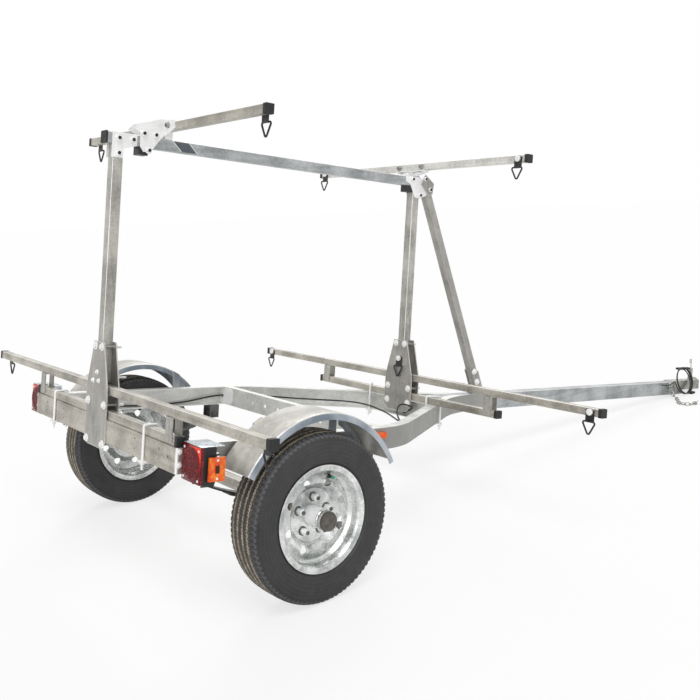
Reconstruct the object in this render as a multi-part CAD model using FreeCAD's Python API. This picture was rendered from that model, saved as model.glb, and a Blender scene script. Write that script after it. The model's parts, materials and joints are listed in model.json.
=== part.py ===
import FreeCAD, Part
import math
import os

os.makedirs("parts", exist_ok=True)

V = FreeCAD.Vector
FULL_TURN = 360.0
RIGHT_ANGLE = 90.0
HEX_SIDES = 6
CUT_ROOM = 1.0
HALF_SHARE = 0.5

# Wheels and axle, in millimetres, trailer level: X forward from the axle, Y left, Z up
TYRE_RADIUS = 265.0
TYRE_WIDTH = 140.0
TYRE_SHOULDER_RADIUS = 252.0
TYRE_BEAD_RADIUS = 153.6
TYRE_BEAD_WIDTH = 104.0
TYRE_WALL = 14.0
RIM_FLANGE_RADIUS = 167.0
RIM_SEAT_RADIUS = 150.0
RIM_WELL_RADIUS = 134.0
RIM_WIDTH = 122.0
RIM_WALL = 3.5
RIM_LIP = 7.0
WELL_WIDTH = 46.0
DISC_INNER_RADIUS = 34.5
DISC_FACE_RADIUS = 82.0
DISC_CROWN_RADIUS = 104.0
DISC_CROWN = 22.0
DISC_THICKNESS = 4.0
DISC_FACE_OUT = 4.0
HAND_HOLE_RADIUS = 13.0
HAND_HOLE_CIRCLE = 108.0
HAND_HOLE_COUNT = 8
LUG_CIRCLE_RADIUS = 57.15
LUG_COUNT = 5
LUG_NUT_RADIUS = 10.5
LUG_NUT_HEIGHT = 20.0
STUD_RADIUS = 6.0
STUD_LENGTH = 32.0
HUB_FLANGE_RADIUS = 73.0
HUB_FLANGE_THICKNESS = 10.0
HUB_BARREL_RADIUS = 32.0
HUB_BARREL_OUT = 58.0
HUB_BARREL_IN = 52.0
CAP_RADIUS = 29.0
CAP_OUT = 90.0
CAP_EDGE = 4.0
HUB_BORE_RADIUS = 17.0
SPINDLE_RADIUS = 16.6
SPINDLE_LENGTH = 96.0
AXLE_Z = TYRE_RADIUS
AXLE_SIZE = 40.0
AXLE_WALL = 4.0

# Frame
FRAME_TOP = 490.0
FRAME_HEIGHT = 76.0
FRAME_BOTTOM = FRAME_TOP - FRAME_HEIGHT
RAIL_THICKNESS = 3.2
RAIL_FLANGE = 40.0
RAIL_Y = 520.0
AXLE_HALF = RAIL_Y + 40.0
WHEEL_Y = AXLE_HALF + 64.0
RAIL_TURN_X = 481.0
RAIL_ANGLE = 31.5
RAIL_TURN_RADIUS = 400.0
RAIL_END_RADIUS = 600.0
RAIL_END_X = 1520.0
TONGUE_WIDTH = 50.0
TONGUE_WALL = 3.2
TONGUE_END_X = 3260.0
TONGUE_CORNER = 5.0

# Cross members
REAR_STATION_X = -428.0
FRONT_STATION_X = 976.0
MAST_SIZE = 38.1
REAR_BACK_X = REAR_STATION_X - MAST_SIZE / 2
REAR_DEPTH = MAST_SIZE
REAR_HALF = RAIL_Y + 26.0
RAIL_START_X = REAR_BACK_X + REAR_DEPTH
PLATE_THICKNESS = 4.0
REAR_BEND = 10.0
REAR_TAB = 62.0
REAR_HOLE_RADIUS = 4.0
REAR_HOLE_YS = (-443.0, -286.0, 276.0, 433.0)
REAR_SLOT_Y = -508.0
REAR_SLOT_LENGTH = 26.0
REAR_SLOT_HEIGHT = 8.0
REAR_SLOT_SHARE = 0.55
REAR_HOLE_LOW_SHARE = 0.3
REAR_HOLE_HIGH_SHARE = 0.72
MIDDLE_X = 395.0
MIDDLE_DEPTH = 32.0
FRONT_X = FRONT_STATION_X - MAST_SIZE / 2
FRONT_DEPTH = MAST_SIZE
TONGUE_START_X = FRONT_X + FRONT_DEPTH + PLATE_THICKNESS
CROSS_THICKNESS = 3.2
MIDDLE_HOLE_RADIUS = 7.0
MIDDLE_HOLE_PITCH = 90.0
MIDDLE_HOLE_SIDE_COUNT = 3
JOINT_PLATE_WIDTH = 92.0
JOINT_PLATE_THICKNESS = 3.0
JOINT_PLATE_CORNER = 12.0

# Load bars, base bars, masts
BAR_SIZE = 28.6
BAR_WALL = 2.0
BAR_CORNER = 2.5
CAP_SIZE = 32.0
CAP_LENGTH = 14.0
CAP_WALL = 1.7
CAP_CORNER = 3.0
BASE_BAR_HALF = REAR_HALF - 6.0
LOAD_BAR_HALF = 990.5
LOAD_BAR_Z = FRAME_TOP + 95.3
UPPER_BAR_HALF = 620.0
UPPER_BAR_Z = 1488.3
UPPER_REAR_X = -240.0
UPPER_FRONT_X = 966.0
RISER_Y = BASE_BAR_HALF - 48.0
RISER_WIDTH = 40.0
RISER_THICKNESS = 3.0
RISER_DROP = 22.0
MAST_WALL = 2.5
MAST_CORNER = 3.0
MAST_FOOT_GAP = 6.0
BEAM_TOP = UPPER_BAR_Z - 41.8
BEAM_BOTTOM = BEAM_TOP - MAST_SIZE
BEAM_BACK_X = REAR_STATION_X - 48.0
BEAM_FRONT_X = FRONT_STATION_X + 24.0
PLATE_TOP_Z = FRAME_TOP + 252.0
PLATE_TOP_HALF = 38.0
PLATE_WAIST_Z = FRAME_TOP + 95.0
PLATE_LOW_HALF = 80.0
PLATE_CHAMFER = 24.0
REAR_PLATE_BOTTOM = FRAME_BOTTOM - 25.0
FRONT_PLATE_BOTTOM = FRAME_BOTTOM + 22.0
PLATE_BOLT_RADIUS = 5.0
PLATE_BOLT_ROOM = 0.5
PLATE_BOLT_HEAD_RADIUS = 9.0
PLATE_BOLT_HEAD = 7.0
PLATE_TOP_BOLT_DROP = 16.0
PLATE_TOP_BOLT_Y = 25.0
PLATE_LOW_BOLT_Y = 62.0
REAR_BOLT_ZS = (FRAME_TOP + 46.0, FRAME_BOTTOM - 8.0)
FRONT_BOLT_ZS = (FRAME_TOP + 48.0, FRAME_TOP - 14.0)
PLATE_MID_BOLT_Z = LOAD_BAR_Z + 76.7

# Bar clamps to the frame
CLAMP_ROD_RADIUS = 4.0
REAR_CLAMP_Y = 352.0
CLAMP_BEND = 6.0
CLAMP_PLATE_THICKNESS = 6.0
CLAMP_PLATE_MARGIN = 8.5
CLAMP_PLATE_WIDTH = 30.0
CLAMP_GAP = 1.0
CLAMP_REACH = MAST_SIZE / 2 + CLAMP_ROD_RADIUS + CLAMP_GAP / 2
CLAMP_TAIL = 22.0
NUT_RADIUS = 7.5
NUT_HEIGHT = 7.0
FRONT_CLAMP_BACK_Y = 174.0
FRONT_CLAMP_FRONT_Y = 212.0

# Top joints
GUSSET_THICKNESS = 3.0
GUSSET_DROP = 84.0
GUSSET_INNER_DROP = 53.0
GUSSET_BACK = -25.0
GUSSET_LEG = 16.0
GUSSET_FRONT = 66.0
GUSSET_BOLTS = ((-3.0, -MAST_SIZE / 2), (-2.0, -69.5), (49.0, -MAST_SIZE / 2))
HINGE_OUTLINE = ((-112.0, 8.0), (-138.0, 21.0), (-118.0, 40.0), (-93.0, 47.0), (-34.0, 66.0), (-18.3, 66.0),
                 (-18.3, 13.0), (-33.0, -3.0), (-70.0, -52.0), (-97.0, -54.0), (-110.0, -38.0))
HINGE_BOLTS = ((-100.0, 8.0), (-55.0, 8.0), (-78.0, -47.5))
TAB_OUTLINE = ((MAST_SIZE / 2, 13.0), (30.0, 10.5), (86.0, 33.0), (82.0, 60.0), (MAST_SIZE / 2, 67.0))
TAB_BOLT_Y = 42.0
TAB_BOLT_RISE = 46.0
HINGE_STRAP = 4.0
FRONT_GUSSET_OUTLINE = ((-67.0, -4.0), (-52.0, 3.0), (24.0, 3.0), (65.0, -55.0), (60.0, -73.0),
                        (22.0, -88.0), (-9.0, -86.0), (-38.0, -33.0), (-66.0, -22.0))
FRONT_GUSSET_BOLTS = ((18.0, -75.0), (-30.0, -10.0))
BLOCK_LENGTH = 36.0
BLOCK_HEIGHT = 27.0
BLOCK_GAP = 1.0
REAR_BLOCK_X = REAR_STATION_X + 74.0
FRONT_BLOCK_X = FRONT_STATION_X - MAST_SIZE / 2 - BLOCK_GAP - BLOCK_LENGTH
BRACE_SIZE = 35.0
BRACE_WALL = 2.5
BRACE_TOP_X = FRONT_STATION_X + 58.0
BRACE_TOP_Z = BEAM_TOP - 18.5
BRACE_FOOT_X = 1453.0
BRACE_FOOT_Z = FRAME_TOP + 44.0
BRACE_PLATE_OUTLINE = ((24.0, -26.5), (46.0, 19.5), (102.0, -16.5), (96.0, -62.5), (70.0, -72.5))
BRACE_LEAN_SHARE = (BRACE_FOOT_X - BRACE_TOP_X) / (BRACE_TOP_Z - BRACE_FOOT_Z)
FOOT_LENGTH = 100.0
FOOT_BACK_X = BRACE_FOOT_X - 24.0
FOOT_THICKNESS = 4.0
FOOT_EAR_TOP = FRAME_TOP + 107.0
FOOT_EAR_WIDTH = 46.0
BRIDGE_HALF = 84.0
BRIDGE_THICKNESS = 4.0
BRIDGE_WIDTH = 36.0
BRIDGE_BOLT_Y = 66.0
POST_SIZE = 24.0
STRUT_THICKNESS = 6.0
STRUT_RISE = 4.0
BRIDGE_BOLT_HEAD = 6.0

# Suspension
SPRING_Y = RAIL_Y - 24.0
SPRING_WIDTH = 44.0
SPRING_LEAF = 6.0
SPRING_HALF = 320.0
SPRING_ARCH = 62.0
SPRING_LEAF_SHARES = (1.0, 0.72, 0.46)
SPRING_EYE_RADIUS = 16.0
SPRING_EYE_BORE = 7.0
HANGER_THICKNESS = 4.0
HANGER_LENGTH = 46.0
SPRING_PLATE = 8.0
SPRING_BOLT_RADIUS = 5.0

# Fenders
FENDER_RADIUS = 326.0
FENDER_THICKNESS = 2.0
FENDER_IN_Y = RAIL_Y + 10.0
FENDER_OUT_Y = WHEEL_Y + 61.0
FENDER_LIP = 22.0
FENDER_EDGE_RADIUS = 10.0
FENDER_NOTCH_GAP = 2.0
FENDER_START_ANGLE = 28.5
FENDER_END_ANGLE = 151.5
FENDER_STRAP_ANGLES = (62.0, 118.0)
FENDER_STRAP_WIDTH = 32.0
FENDER_STRAP_THICKNESS = 4.0
FENDER_STRAP_REACH = FENDER_IN_Y - RAIL_Y + 56.0

# Lights
LIGHT_IN_Y = REAR_HALF
LIGHT_WIDTH = 101.0
LIGHT_HEIGHT = 106.0
LIGHT_Z = FRAME_BOTTOM - 12.0
LIGHT_BACK_X = REAR_STATION_X + 3.0
LIGHT_DEPTH = 50.0
LENS_DEPTH = 9.0
LIGHT_CORNER = 5.0
MARKER_LENGTH = 52.0
MARKER_HEIGHT = 68.0
MARKER_THICKNESS = 8.0
MARKER_X = REAR_STATION_X + 24.0
MARKER_Z = FRAME_BOTTOM
MARKER_PAD = 6.0
SMALL_MARKER_LENGTH = 54.0
SMALL_MARKER_HEIGHT = 20.0
SMALL_MARKER_DEPTH = 14.0
SMALL_MARKER_X = 338.0
SMALL_MARKER_Z = FRAME_BOTTOM + 43.0

# Tie-down rings
RING_WIRE = 3.2
RING_HALF_WIDTH = 27.0
RING_HEIGHT = 50.0
RING_BEND = 12.0
RING_PLATE_WIDTH = 34.0
RING_PLATE_THICKNESS = 3.0
RING_PLATE_DROP = 22.0
RING_BOLT_RADIUS = 11.0
RING_BOLT_HEIGHT = 6.0
RING_REAR_Y = LOAD_BAR_HALF - 47.5
RING_FRONT_Y = LOAD_BAR_HALF - 45.5
RING_UPPER_Y = UPPER_BAR_HALF - 43.0

# Coupler
COUPLER_BACK_X = TONGUE_END_X - 110.0
COUPLER_WALL = 4.0
SOCKET_X = TONGUE_END_X + 170.0
SOCKET_RADIUS = 25.8
SOCKET_OUTER = 34.0
SOCKET_RISE = 14.0
COUPLER_SKIRT = 50.0
SOCKET_RIM = 20.0
LATCH_FRONT_X = SOCKET_X - 26.0
LATCH_LENGTH = 150.0
LATCH_WIDTH = 18.0
LATCH_THICKNESS = 5.0
LATCH_RISE = 64.0
LATCH_POST = 12.0
GRIP_LENGTH = 112.0
GRIP_SKIN = 4.0
PIN_WIRE = 2.5
PIN_RISE = 52.0
PIN_LOOP = 14.0

# Chains, bolted to the tongue's sides and laid on the floor; floor places stand away from the bolt
LINK_WIRE = 2.6
LINK_PITCH = 25.6
LINK_STEP = 0.3
LINK_ROOM = 0.05
LINK_HALF_WIDTH = 8.6
LINK_HALF_LENGTH = 15.5
LINK_ROLL_DEGREES = 45.0
FIRST_ROLLS_DEGREES = (75.0, -30.0)
CHAIN_BOLT_X = TONGUE_END_X - 150.0
CHAIN_BOLT_Z = FRAME_TOP - 14.0
CHAIN_BOLT_RADIUS = 5.0
CHAIN_WASHER_RADIUS = 11.0
CHAIN_WASHER_THICKNESS = 2.0
CHAIN_SPACER = 8.0
CHAIN_FLOOR_Z = 8.9
CHAIN_ROUTES = (((-1, 0.0, 0.0), (-1, 2.0, 6.0), (-1, -2.0, 22.0), (-1, -12.0, 44.0), (-1, -34.0, 66.0),
                 (-1, -64.0, 84.0), (-1, -96.0, 108.0), (-1, -104.0, 144.0), (-1, -78.0, 172.0),
                 (-1, -38.0, 176.0), (-1, 0.0, 160.0)),
                ((1, 0.0, 0.0), (1, 2.0, 6.0), (1, 6.0, 22.0), (1, 18.0, 46.0), (1, 44.0, 66.0),
                 (1, 84.0, 74.0), (1, 124.0, 68.0), (1, 164.0, 58.0)))
CHAIN_DROP_SHARES = (0.0, 0.34, 0.74, 0.96, 1.0)

# Lighting cables: inside the rails, and a lead out of the tongue with a hank and a flat plug on the floor
CORD_REACH_SHARE = 0.45
CABLE_RADIUS = 3.4
CABLE_HOLE_RADIUS = 8.0
COIL_RADIUS = 76.0
COIL_SECTION = 9.0
COIL_AHEAD = 2.0
COIL_LEAN_DEGREES = 14.0
COIL_BOTTOM_Y = -61.0
LEAD_AHEAD = ((-212.0, -25.0, 88.0), (-212.0, -42.0, 88.0), (-205.0, -57.0, 90.0), (-190.0, -66.0, 94.0),
              (-168.0, -68.0, 98.0), (-142.0, -62.0, 99.0), (-111.0, -51.5, 92.5), (-83.6, -42.8, 82.9))
PLUG_LENGTH = 38.0
PLUG_WIDTH = 26.0
PLUG_HEIGHT = 11.0
PLUG_AHEAD = 28.0
PLUG_Y = COIL_BOTTOM_Y
TONGUE_RUN = ((1090.0, 12.0, 427.0), (1058.0, 9.0, 427.5), (1028.0, 4.0, 427.0), (1002.0, -4.0, 427.0))
FRAME_RUN = ((982.0, -19.0, 430.0), (974.0, -42.0, 438.0), (970.0, -66.0, 448.0),
             (962.0, -86.0, 457.0), (945.0, -96.0, 466.0), (925.0, -95.0, 474.0),
             (904.0, -88.0, 479.0), (884.0, -85.0, 474.0), (868.0, -92.0, 463.0),
             (852.0, -107.0, 452.0), (834.0, -130.0, 443.0), (814.0, -157.0, 435.0),
             (796.0, -190.0, 428.0), (780.0, -228.0, 424.0), (762.0, -268.0, 422.0),
             (738.0, -308.0, 423.0), (704.0, -340.0, 428.0), (660.0, -372.0, 434.0),
             (610.0, -408.0, 440.0), (556.0, -446.0, 445.0), (500.0, -476.0, 449.0),
             (440.0, -494.0, 451.0), (380.0, -503.0, 450.0))
TRUNK_ROUTE = TONGUE_RUN + FRAME_RUN
RAIL_RUN = ((320.0, 505.0, 446.0), (262.0, 506.0, 437.0), (204.0, 505.0, 429.0), (146.0, 506.0, 424.0),
            (88.0, 505.0, 422.0), (30.0, 506.0, 422.5), (-28.0, 505.0, 422.0), (-86.0, 506.0, 423.0),
            (-144.0, 505.0, 428.0), (-190.0, 506.0, 436.0), (-230.0, 505.0, 444.0),
            (-262.0, 506.5, 449.0), (-286.0, 514.0, 452.0))
LAMP_RUN = ((-303.0, 531.0, 453.0), (-316.0, 552.0, 452.5), (-328.0, 574.0, 451.0), (-341.0, 591.0, 449.0),
            (-356.0, 599.0, 448.0), (-369.0, 599.0, 448.0))
LIGHT_RUN = RAIL_RUN + LAMP_RUN
LEFT_ROUTE = ((808.0, -180.0, 420.5), (822.0, -146.0, 424.0), (842.0, -98.0, 428.0),
              (864.0, -44.0, 432.0), (884.0, 10.0, 434.0), (901.0, 66.0, 435.0), (913.0, 120.0, 437.0),
              (914.0, 168.0, 438.0), (902.0, 212.0, 439.0), (872.0, 246.0, 440.0),
              (828.0, 275.0, 441.0), (776.0, 306.0, 441.0), (724.0, 339.0, 442.0),
              (672.0, 370.0, 443.0), (618.0, 403.0, 445.0), (562.0, 438.0, 447.0),
              (504.0, 469.0, 449.0), (442.0, 492.0, 451.0), (380.0, 503.0, 450.0))


def box(x0, x1, y0, y1, z0, z1):
    return Part.makeBox(x1 - x0, y1 - y0, z1 - z0, V(x0, y0, z0))


def mirrored(shape):
    return shape.mirror(V(0, 0, 0), V(0, 1, 0))


def both_sides(shape):
    return [shape, mirrored(shape)]


def prism_y(points, y0, y1):
    corners = [V(x, y0, z) for x, z in points]
    face = Part.Face(Part.makePolygon(corners + corners[:1]))
    return face.extrude(V(0, y1 - y0, 0))


def prism_x(points, x0, x1):
    corners = [V(x0, y, z) for y, z in points]
    face = Part.Face(Part.makePolygon(corners + corners[:1]))
    return face.extrude(V(x1 - x0, 0, 0))


def prism_z(points, z0, z1):
    corners = [V(x, y, z0) for x, y in points]
    face = Part.Face(Part.makePolygon(corners + corners[:1]))
    return face.extrude(V(0, 0, z1 - z0))


def rod(start, end, radius):
    line = end.sub(start)
    return Part.makeCylinder(radius, line.Length, start, line)


def fuse_all(shapes):
    result = shapes[0]
    for shape in shapes[1:]:
        result = result.fuse(shape)
    return result.removeSplitter()


def round_long_edges(solid, length, radius):
    edges = [e for e in solid.Edges if abs(e.Length - length) < radius]
    return solid.makeFillet(radius, edges)


def square_tube(length, size, wall, corner):
    half = size / 2
    outer = box(0, length, -half, half, -half, half)
    outer = round_long_edges(outer, length, corner)
    inner = half - wall
    return outer.cut(box(0, length, -inner, inner, -inner, inner))


def tube_along_y(x, z, half, size, wall, corner):
    tube = square_tube(2 * half, size, wall, corner)
    tube.rotate(V(0, 0, 0), V(0, 0, 1), RIGHT_ANGLE)
    tube.translate(V(x, -half, z))
    return tube


def tube_between(start, end, size, wall, corner):
    line = end.sub(start)
    tube = square_tube(line.Length, size, wall, corner)
    tube.Placement = FreeCAD.Placement(start, FreeCAD.Rotation(V(1, 0, 0), line))
    return tube


def capped_bar(x, z, half, stops):
    tube = tube_along_y(x, z, half, BAR_SIZE, BAR_WALL, BAR_CORNER)
    room = BAR_SIZE
    pieces = []
    ends = [-half] + [-y for y in reversed(stops)] + list(stops) + [half]
    for low, high in zip(ends, ends[1:]):
        pieces.append(tube.common(box(x - room, x + room, low, high, z - room, z + room)))
    bar = pieces[0]
    for piece in pieces[1:]:
        bar = bar.fuse(piece)
    return bar


def end_cap(x, y, z, outward, tube_size):
    half = CAP_SIZE / 2
    cap = box(0, CAP_LENGTH, -half, half, -half, half)
    cap = round_long_edges(cap, CAP_LENGTH, CAP_CORNER)
    inner = tube_size / 2
    cap = cap.cut(box(0, CAP_LENGTH - CAP_WALL, -inner, inner, -inner, inner))
    cap.Placement = FreeCAD.Placement(V(x, y, z), FreeCAD.Rotation(V(1, 0, 0), outward))
    return cap


def bar_caps(x, z, half):
    start = half - CAP_LENGTH
    right = end_cap(x, -start, z, V(0, -1, 0), BAR_SIZE)
    left = end_cap(x, start, z, V(0, 1, 0), BAR_SIZE)
    return [right, left]


def revolve_y(points, centre_y):
    corners = [V(0, centre_y + y, r) for y, r in points]
    face = Part.Face(Part.makePolygon(corners + corners[:1]))
    solid = face.revolve(V(0, 0, 0), V(0, 1, 0), FULL_TURN)
    solid.translate(V(0, 0, AXLE_Z))
    return solid


def rounded_path(points, bend, closed):
    count = len(points)
    edges = []
    starts = []
    ends = []
    arcs = []
    for i in range(count):
        here = points[i]
        if not closed and i in (0, count - 1):
            starts.append(here)
            ends.append(here)
            arcs.append(None)
            continue
        before = points[i - 1].sub(here).normalize()
        after = points[(i + 1) % count].sub(here).normalize()
        angle = math.acos(max(-1, min(1, before.dot(after))))
        reach = bend / math.tan(angle / 2)
        first = here.add(before * reach)
        last = here.add(after * reach)
        bisector = before.add(after).normalize()
        depth = bend / math.sin(angle / 2) - bend
        starts.append(first)
        ends.append(last)
        arcs.append(Part.Arc(first, here.add(bisector * depth), last).toShape())
    spans = count if closed else count - 1
    for i in range(spans):
        nxt = (i + 1) % count
        if arcs[i] is not None:
            edges.append(arcs[i])
        edges.append(Part.makeLine(ends[i], starts[nxt]))
    return Part.Wire(edges)


def swept_rod(points, bend, radius, closed=False):
    path = rounded_path(points, bend, closed)
    first = path.OrderedEdges[0]
    start = first.valueAt(first.FirstParameter)
    tangent = first.tangentAt(first.FirstParameter)
    ring = Part.Wire(Part.makeCircle(radius, start, tangent))
    solid = path.makePipeShell([ring], True, False)
    return solid if solid.Volume > 0 else solid.reversed()


def hex_nut(centre, axis, radius, height):
    points = []
    for i in range(HEX_SIDES):
        turn = math.radians(FULL_TURN * i / HEX_SIDES)
        points.append(V(radius * math.cos(turn), radius * math.sin(turn), 0))
    face = Part.Face(Part.makePolygon(points + points[:1]))
    nut = face.extrude(V(0, 0, height))
    nut.Placement = FreeCAD.Placement(centre, FreeCAD.Rotation(V(0, 0, 1), axis))
    return nut


# Resting pitch: the lowest point under the coupler touches the floor with both tyres
def pitch_for(x, z):
    rise = z - AXLE_Z
    reach = math.hypot(x, rise)
    return math.degrees(math.asin(AXLE_Z / reach) + math.atan2(rise, x))


SOCKET_BOTTOM = FRAME_TOP - COUPLER_SKIRT
PITCH = min(pitch_for(SOCKET_X + SOCKET_OUTER, SOCKET_BOTTOM), pitch_for(TONGUE_END_X, FRAME_BOTTOM))


def pitched(shape):
    shape.rotate(V(0, 0, AXLE_Z), V(0, 1, 0), PITCH)
    return shape


def floor_point(x, z):
    turn = math.radians(PITCH)
    rise = z - AXLE_Z
    return (x * math.cos(turn) + rise * math.sin(turn),
            AXLE_Z + rise * math.cos(turn) - x * math.sin(turn))


nodes = {}


def keep(name, solids, turned=True):
    shape = Part.makeCompound(solids) if len(solids) > 1 else solids[0]
    nodes[name] = pitched(shape) if turned else shape


# Side rails: a channel that follows a straight run, a turn inward and a turn along the tongue
def rail_outline(offset):
    angle = math.radians(RAIL_ANGLE)
    slope = math.tan(angle)
    tongue_y = TONGUE_WIDTH / 2 + RAIL_THICKNESS
    first_radius = RAIL_TURN_RADIUS - offset
    first_reach = RAIL_TURN_RADIUS * math.tan(angle / 2)
    a = V(RAIL_TURN_X - first_reach, -RAIL_Y + offset, 0)
    centre_a = V(a.x, -RAIL_Y + RAIL_TURN_RADIUS, 0)
    b = V(centre_a.x + first_radius * math.sin(angle), centre_a.y - first_radius * math.cos(angle), 0)
    mid_a = V(centre_a.x + first_radius * math.sin(angle / 2),
              centre_a.y - first_radius * math.cos(angle / 2), 0)
    corner_x = RAIL_TURN_X + (RAIL_Y - tongue_y) / slope
    second_reach = RAIL_END_RADIUS * math.tan(angle / 2)
    d_x = corner_x + second_reach
    centre_d = V(d_x, -tongue_y - RAIL_END_RADIUS, 0)
    second_radius = RAIL_END_RADIUS + offset
    d = V(d_x, -tongue_y + offset, 0)
    c = V(centre_d.x - second_radius * math.sin(angle), centre_d.y + second_radius * math.cos(angle), 0)
    mid_d = V(centre_d.x - second_radius * math.sin(angle / 2),
              centre_d.y + second_radius * math.cos(angle / 2), 0)
    start = V(RAIL_START_X, -RAIL_Y + offset, 0)
    end = V(RAIL_END_X, -tongue_y + offset, 0)
    return [Part.makeLine(start, a), Part.Arc(a, mid_a, b).toShape(), Part.makeLine(b, c),
            Part.Arc(c, mid_d, d).toShape(), Part.makeLine(d, end)]


def rail_strip(inner_offset, z0, z1):
    outer = rail_outline(0)
    inner = rail_outline(inner_offset)
    start_outer = outer[0].valueAt(outer[0].FirstParameter)
    start_inner = inner[0].valueAt(inner[0].FirstParameter)
    end_outer = outer[-1].valueAt(outer[-1].LastParameter)
    end_inner = inner[-1].valueAt(inner[-1].LastParameter)
    edges = outer + [Part.makeLine(end_outer, end_inner)] + inner
    edges = edges + [Part.makeLine(start_outer, start_inner)]
    face = Part.Face(Part.Wire(Part.__sortEdges__(edges)))
    strip = face.extrude(V(0, 0, z1 - z0))
    strip.translate(V(0, 0, z0))
    return strip


web = rail_strip(RAIL_THICKNESS, FRAME_BOTTOM, FRAME_TOP)
top_flange = rail_strip(RAIL_FLANGE, FRAME_TOP - RAIL_THICKNESS, FRAME_TOP)
low_flange = rail_strip(RAIL_FLANGE, FRAME_BOTTOM, FRAME_BOTTOM + RAIL_THICKNESS)
tongue_half = TONGUE_WIDTH / 2
tongue_room = box(TONGUE_START_X, TONGUE_END_X, -tongue_half, RAIL_Y, FRAME_BOTTOM, FRAME_TOP)
right_rail = fuse_all([web, top_flange, low_flange]).cut(tongue_room)
right_rail = max(right_rail.Solids, key=lambda s: s.Volume)


# A hole that a cable passes through, along the stretch of its route between two points
def wire_hole(before, after, side):
    start = V(before[0], side * before[1], before[2])
    end = V(after[0], side * after[1], after[2])
    room = end.sub(start).normalize() * CABLE_HOLE_RADIUS
    return rod(start.sub(room), end.add(room), CABLE_HOLE_RADIUS)


# Cross members; the front one is drilled for the bolts of its mast plates
def plate_bolt_holes(x, bolt_zs):
    reach = MAST_SIZE / 2 + PLATE_THICKNESS
    holes = []
    for y in (-PLATE_LOW_BOLT_Y, PLATE_LOW_BOLT_Y):
        for z in bolt_zs:
            holes.append(rod(V(x - reach, y, z), V(x + reach, y, z), PLATE_BOLT_RADIUS + PLATE_BOLT_ROOM))
    return fuse_all(holes)


rear_front_x = REAR_BACK_X + REAR_DEPTH


def channel_x(back, front, half, open_front):
    skin = CROSS_THICKNESS
    shell = box(back, front, -half, half, FRAME_BOTTOM, FRAME_TOP)
    cut_back = back + skin if open_front else back
    cut_front = front if open_front else front - skin
    hollow = box(cut_back, cut_front, -half, half, FRAME_BOTTOM + skin, FRAME_TOP - skin)
    return shell.cut(hollow)


rear_outer = box(REAR_BACK_X, REAR_BACK_X + REAR_TAB, -REAR_HALF, REAR_HALF, FRAME_BOTTOM, FRAME_TOP)
rear_edges = [e for e in rear_outer.Edges
              if abs(e.Length - FRAME_HEIGHT) < REAR_BEND and e.CenterOfMass.x < REAR_BACK_X + REAR_BEND]
rear_outer = rear_outer.makeFillet(REAR_BEND, rear_edges)
inner_half = REAR_HALF - CROSS_THICKNESS
rear_inner = box(REAR_BACK_X + CROSS_THICKNESS, REAR_BACK_X + REAR_TAB + CROSS_THICKNESS,
                 -inner_half, inner_half, FRAME_BOTTOM, FRAME_TOP)
inner_edges = [e for e in rear_inner.Edges
               if abs(e.Length - FRAME_HEIGHT) < REAR_BEND and e.CenterOfMass.x < REAR_BACK_X + REAR_BEND]
rear_inner = rear_inner.makeFillet(REAR_BEND - CROSS_THICKNESS, inner_edges)
rear_skin = rear_outer.cut(rear_inner)
flange_half = REAR_HALF - REAR_BEND
upper_flange = box(REAR_BACK_X + CROSS_THICKNESS, rear_front_x, -flange_half, flange_half,
                   FRAME_TOP - CROSS_THICKNESS, FRAME_TOP)
lower_flange = box(REAR_BACK_X + CROSS_THICKNESS, rear_front_x, -flange_half, flange_half,
                   FRAME_BOTTOM, FRAME_BOTTOM + CROSS_THICKNESS)
rear_member = fuse_all([rear_skin, upper_flange, lower_flange])
for hole_y in REAR_HOLE_YS:
    for share in (REAR_HOLE_LOW_SHARE, REAR_HOLE_HIGH_SHARE):
        hole_z = FRAME_BOTTOM + FRAME_HEIGHT * share
        start = V(REAR_BACK_X - CROSS_THICKNESS, hole_y, hole_z)
        end = V(REAR_BACK_X + CROSS_THICKNESS + CUT_ROOM, hole_y, hole_z)
        rear_member = rear_member.cut(rod(start, end, REAR_HOLE_RADIUS))
slot_z = FRAME_BOTTOM + FRAME_HEIGHT * REAR_SLOT_SHARE
rear_member = rear_member.cut(box(REAR_BACK_X - CROSS_THICKNESS, REAR_BACK_X + CROSS_THICKNESS + CUT_ROOM,
                                  REAR_SLOT_Y - REAR_SLOT_LENGTH / 2, REAR_SLOT_Y + REAR_SLOT_LENGTH / 2,
                                  slot_z - REAR_SLOT_HEIGHT / 2, slot_z + REAR_SLOT_HEIGHT / 2))
keep("rear_cross_member", [rear_member])

right_rail = right_rail.cut(box(RAIL_START_X - REAR_TAB, rear_front_x, -RAIL_Y, 0,
                                FRAME_BOTTOM, FRAME_TOP))
right_rail = right_rail.cut(wire_hole(RAIL_RUN[-1], LAMP_RUN[0], -1))
keep("side_rail_right", [right_rail])
keep("side_rail_left", [mirrored(nodes["side_rail_right"])], False)

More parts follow.
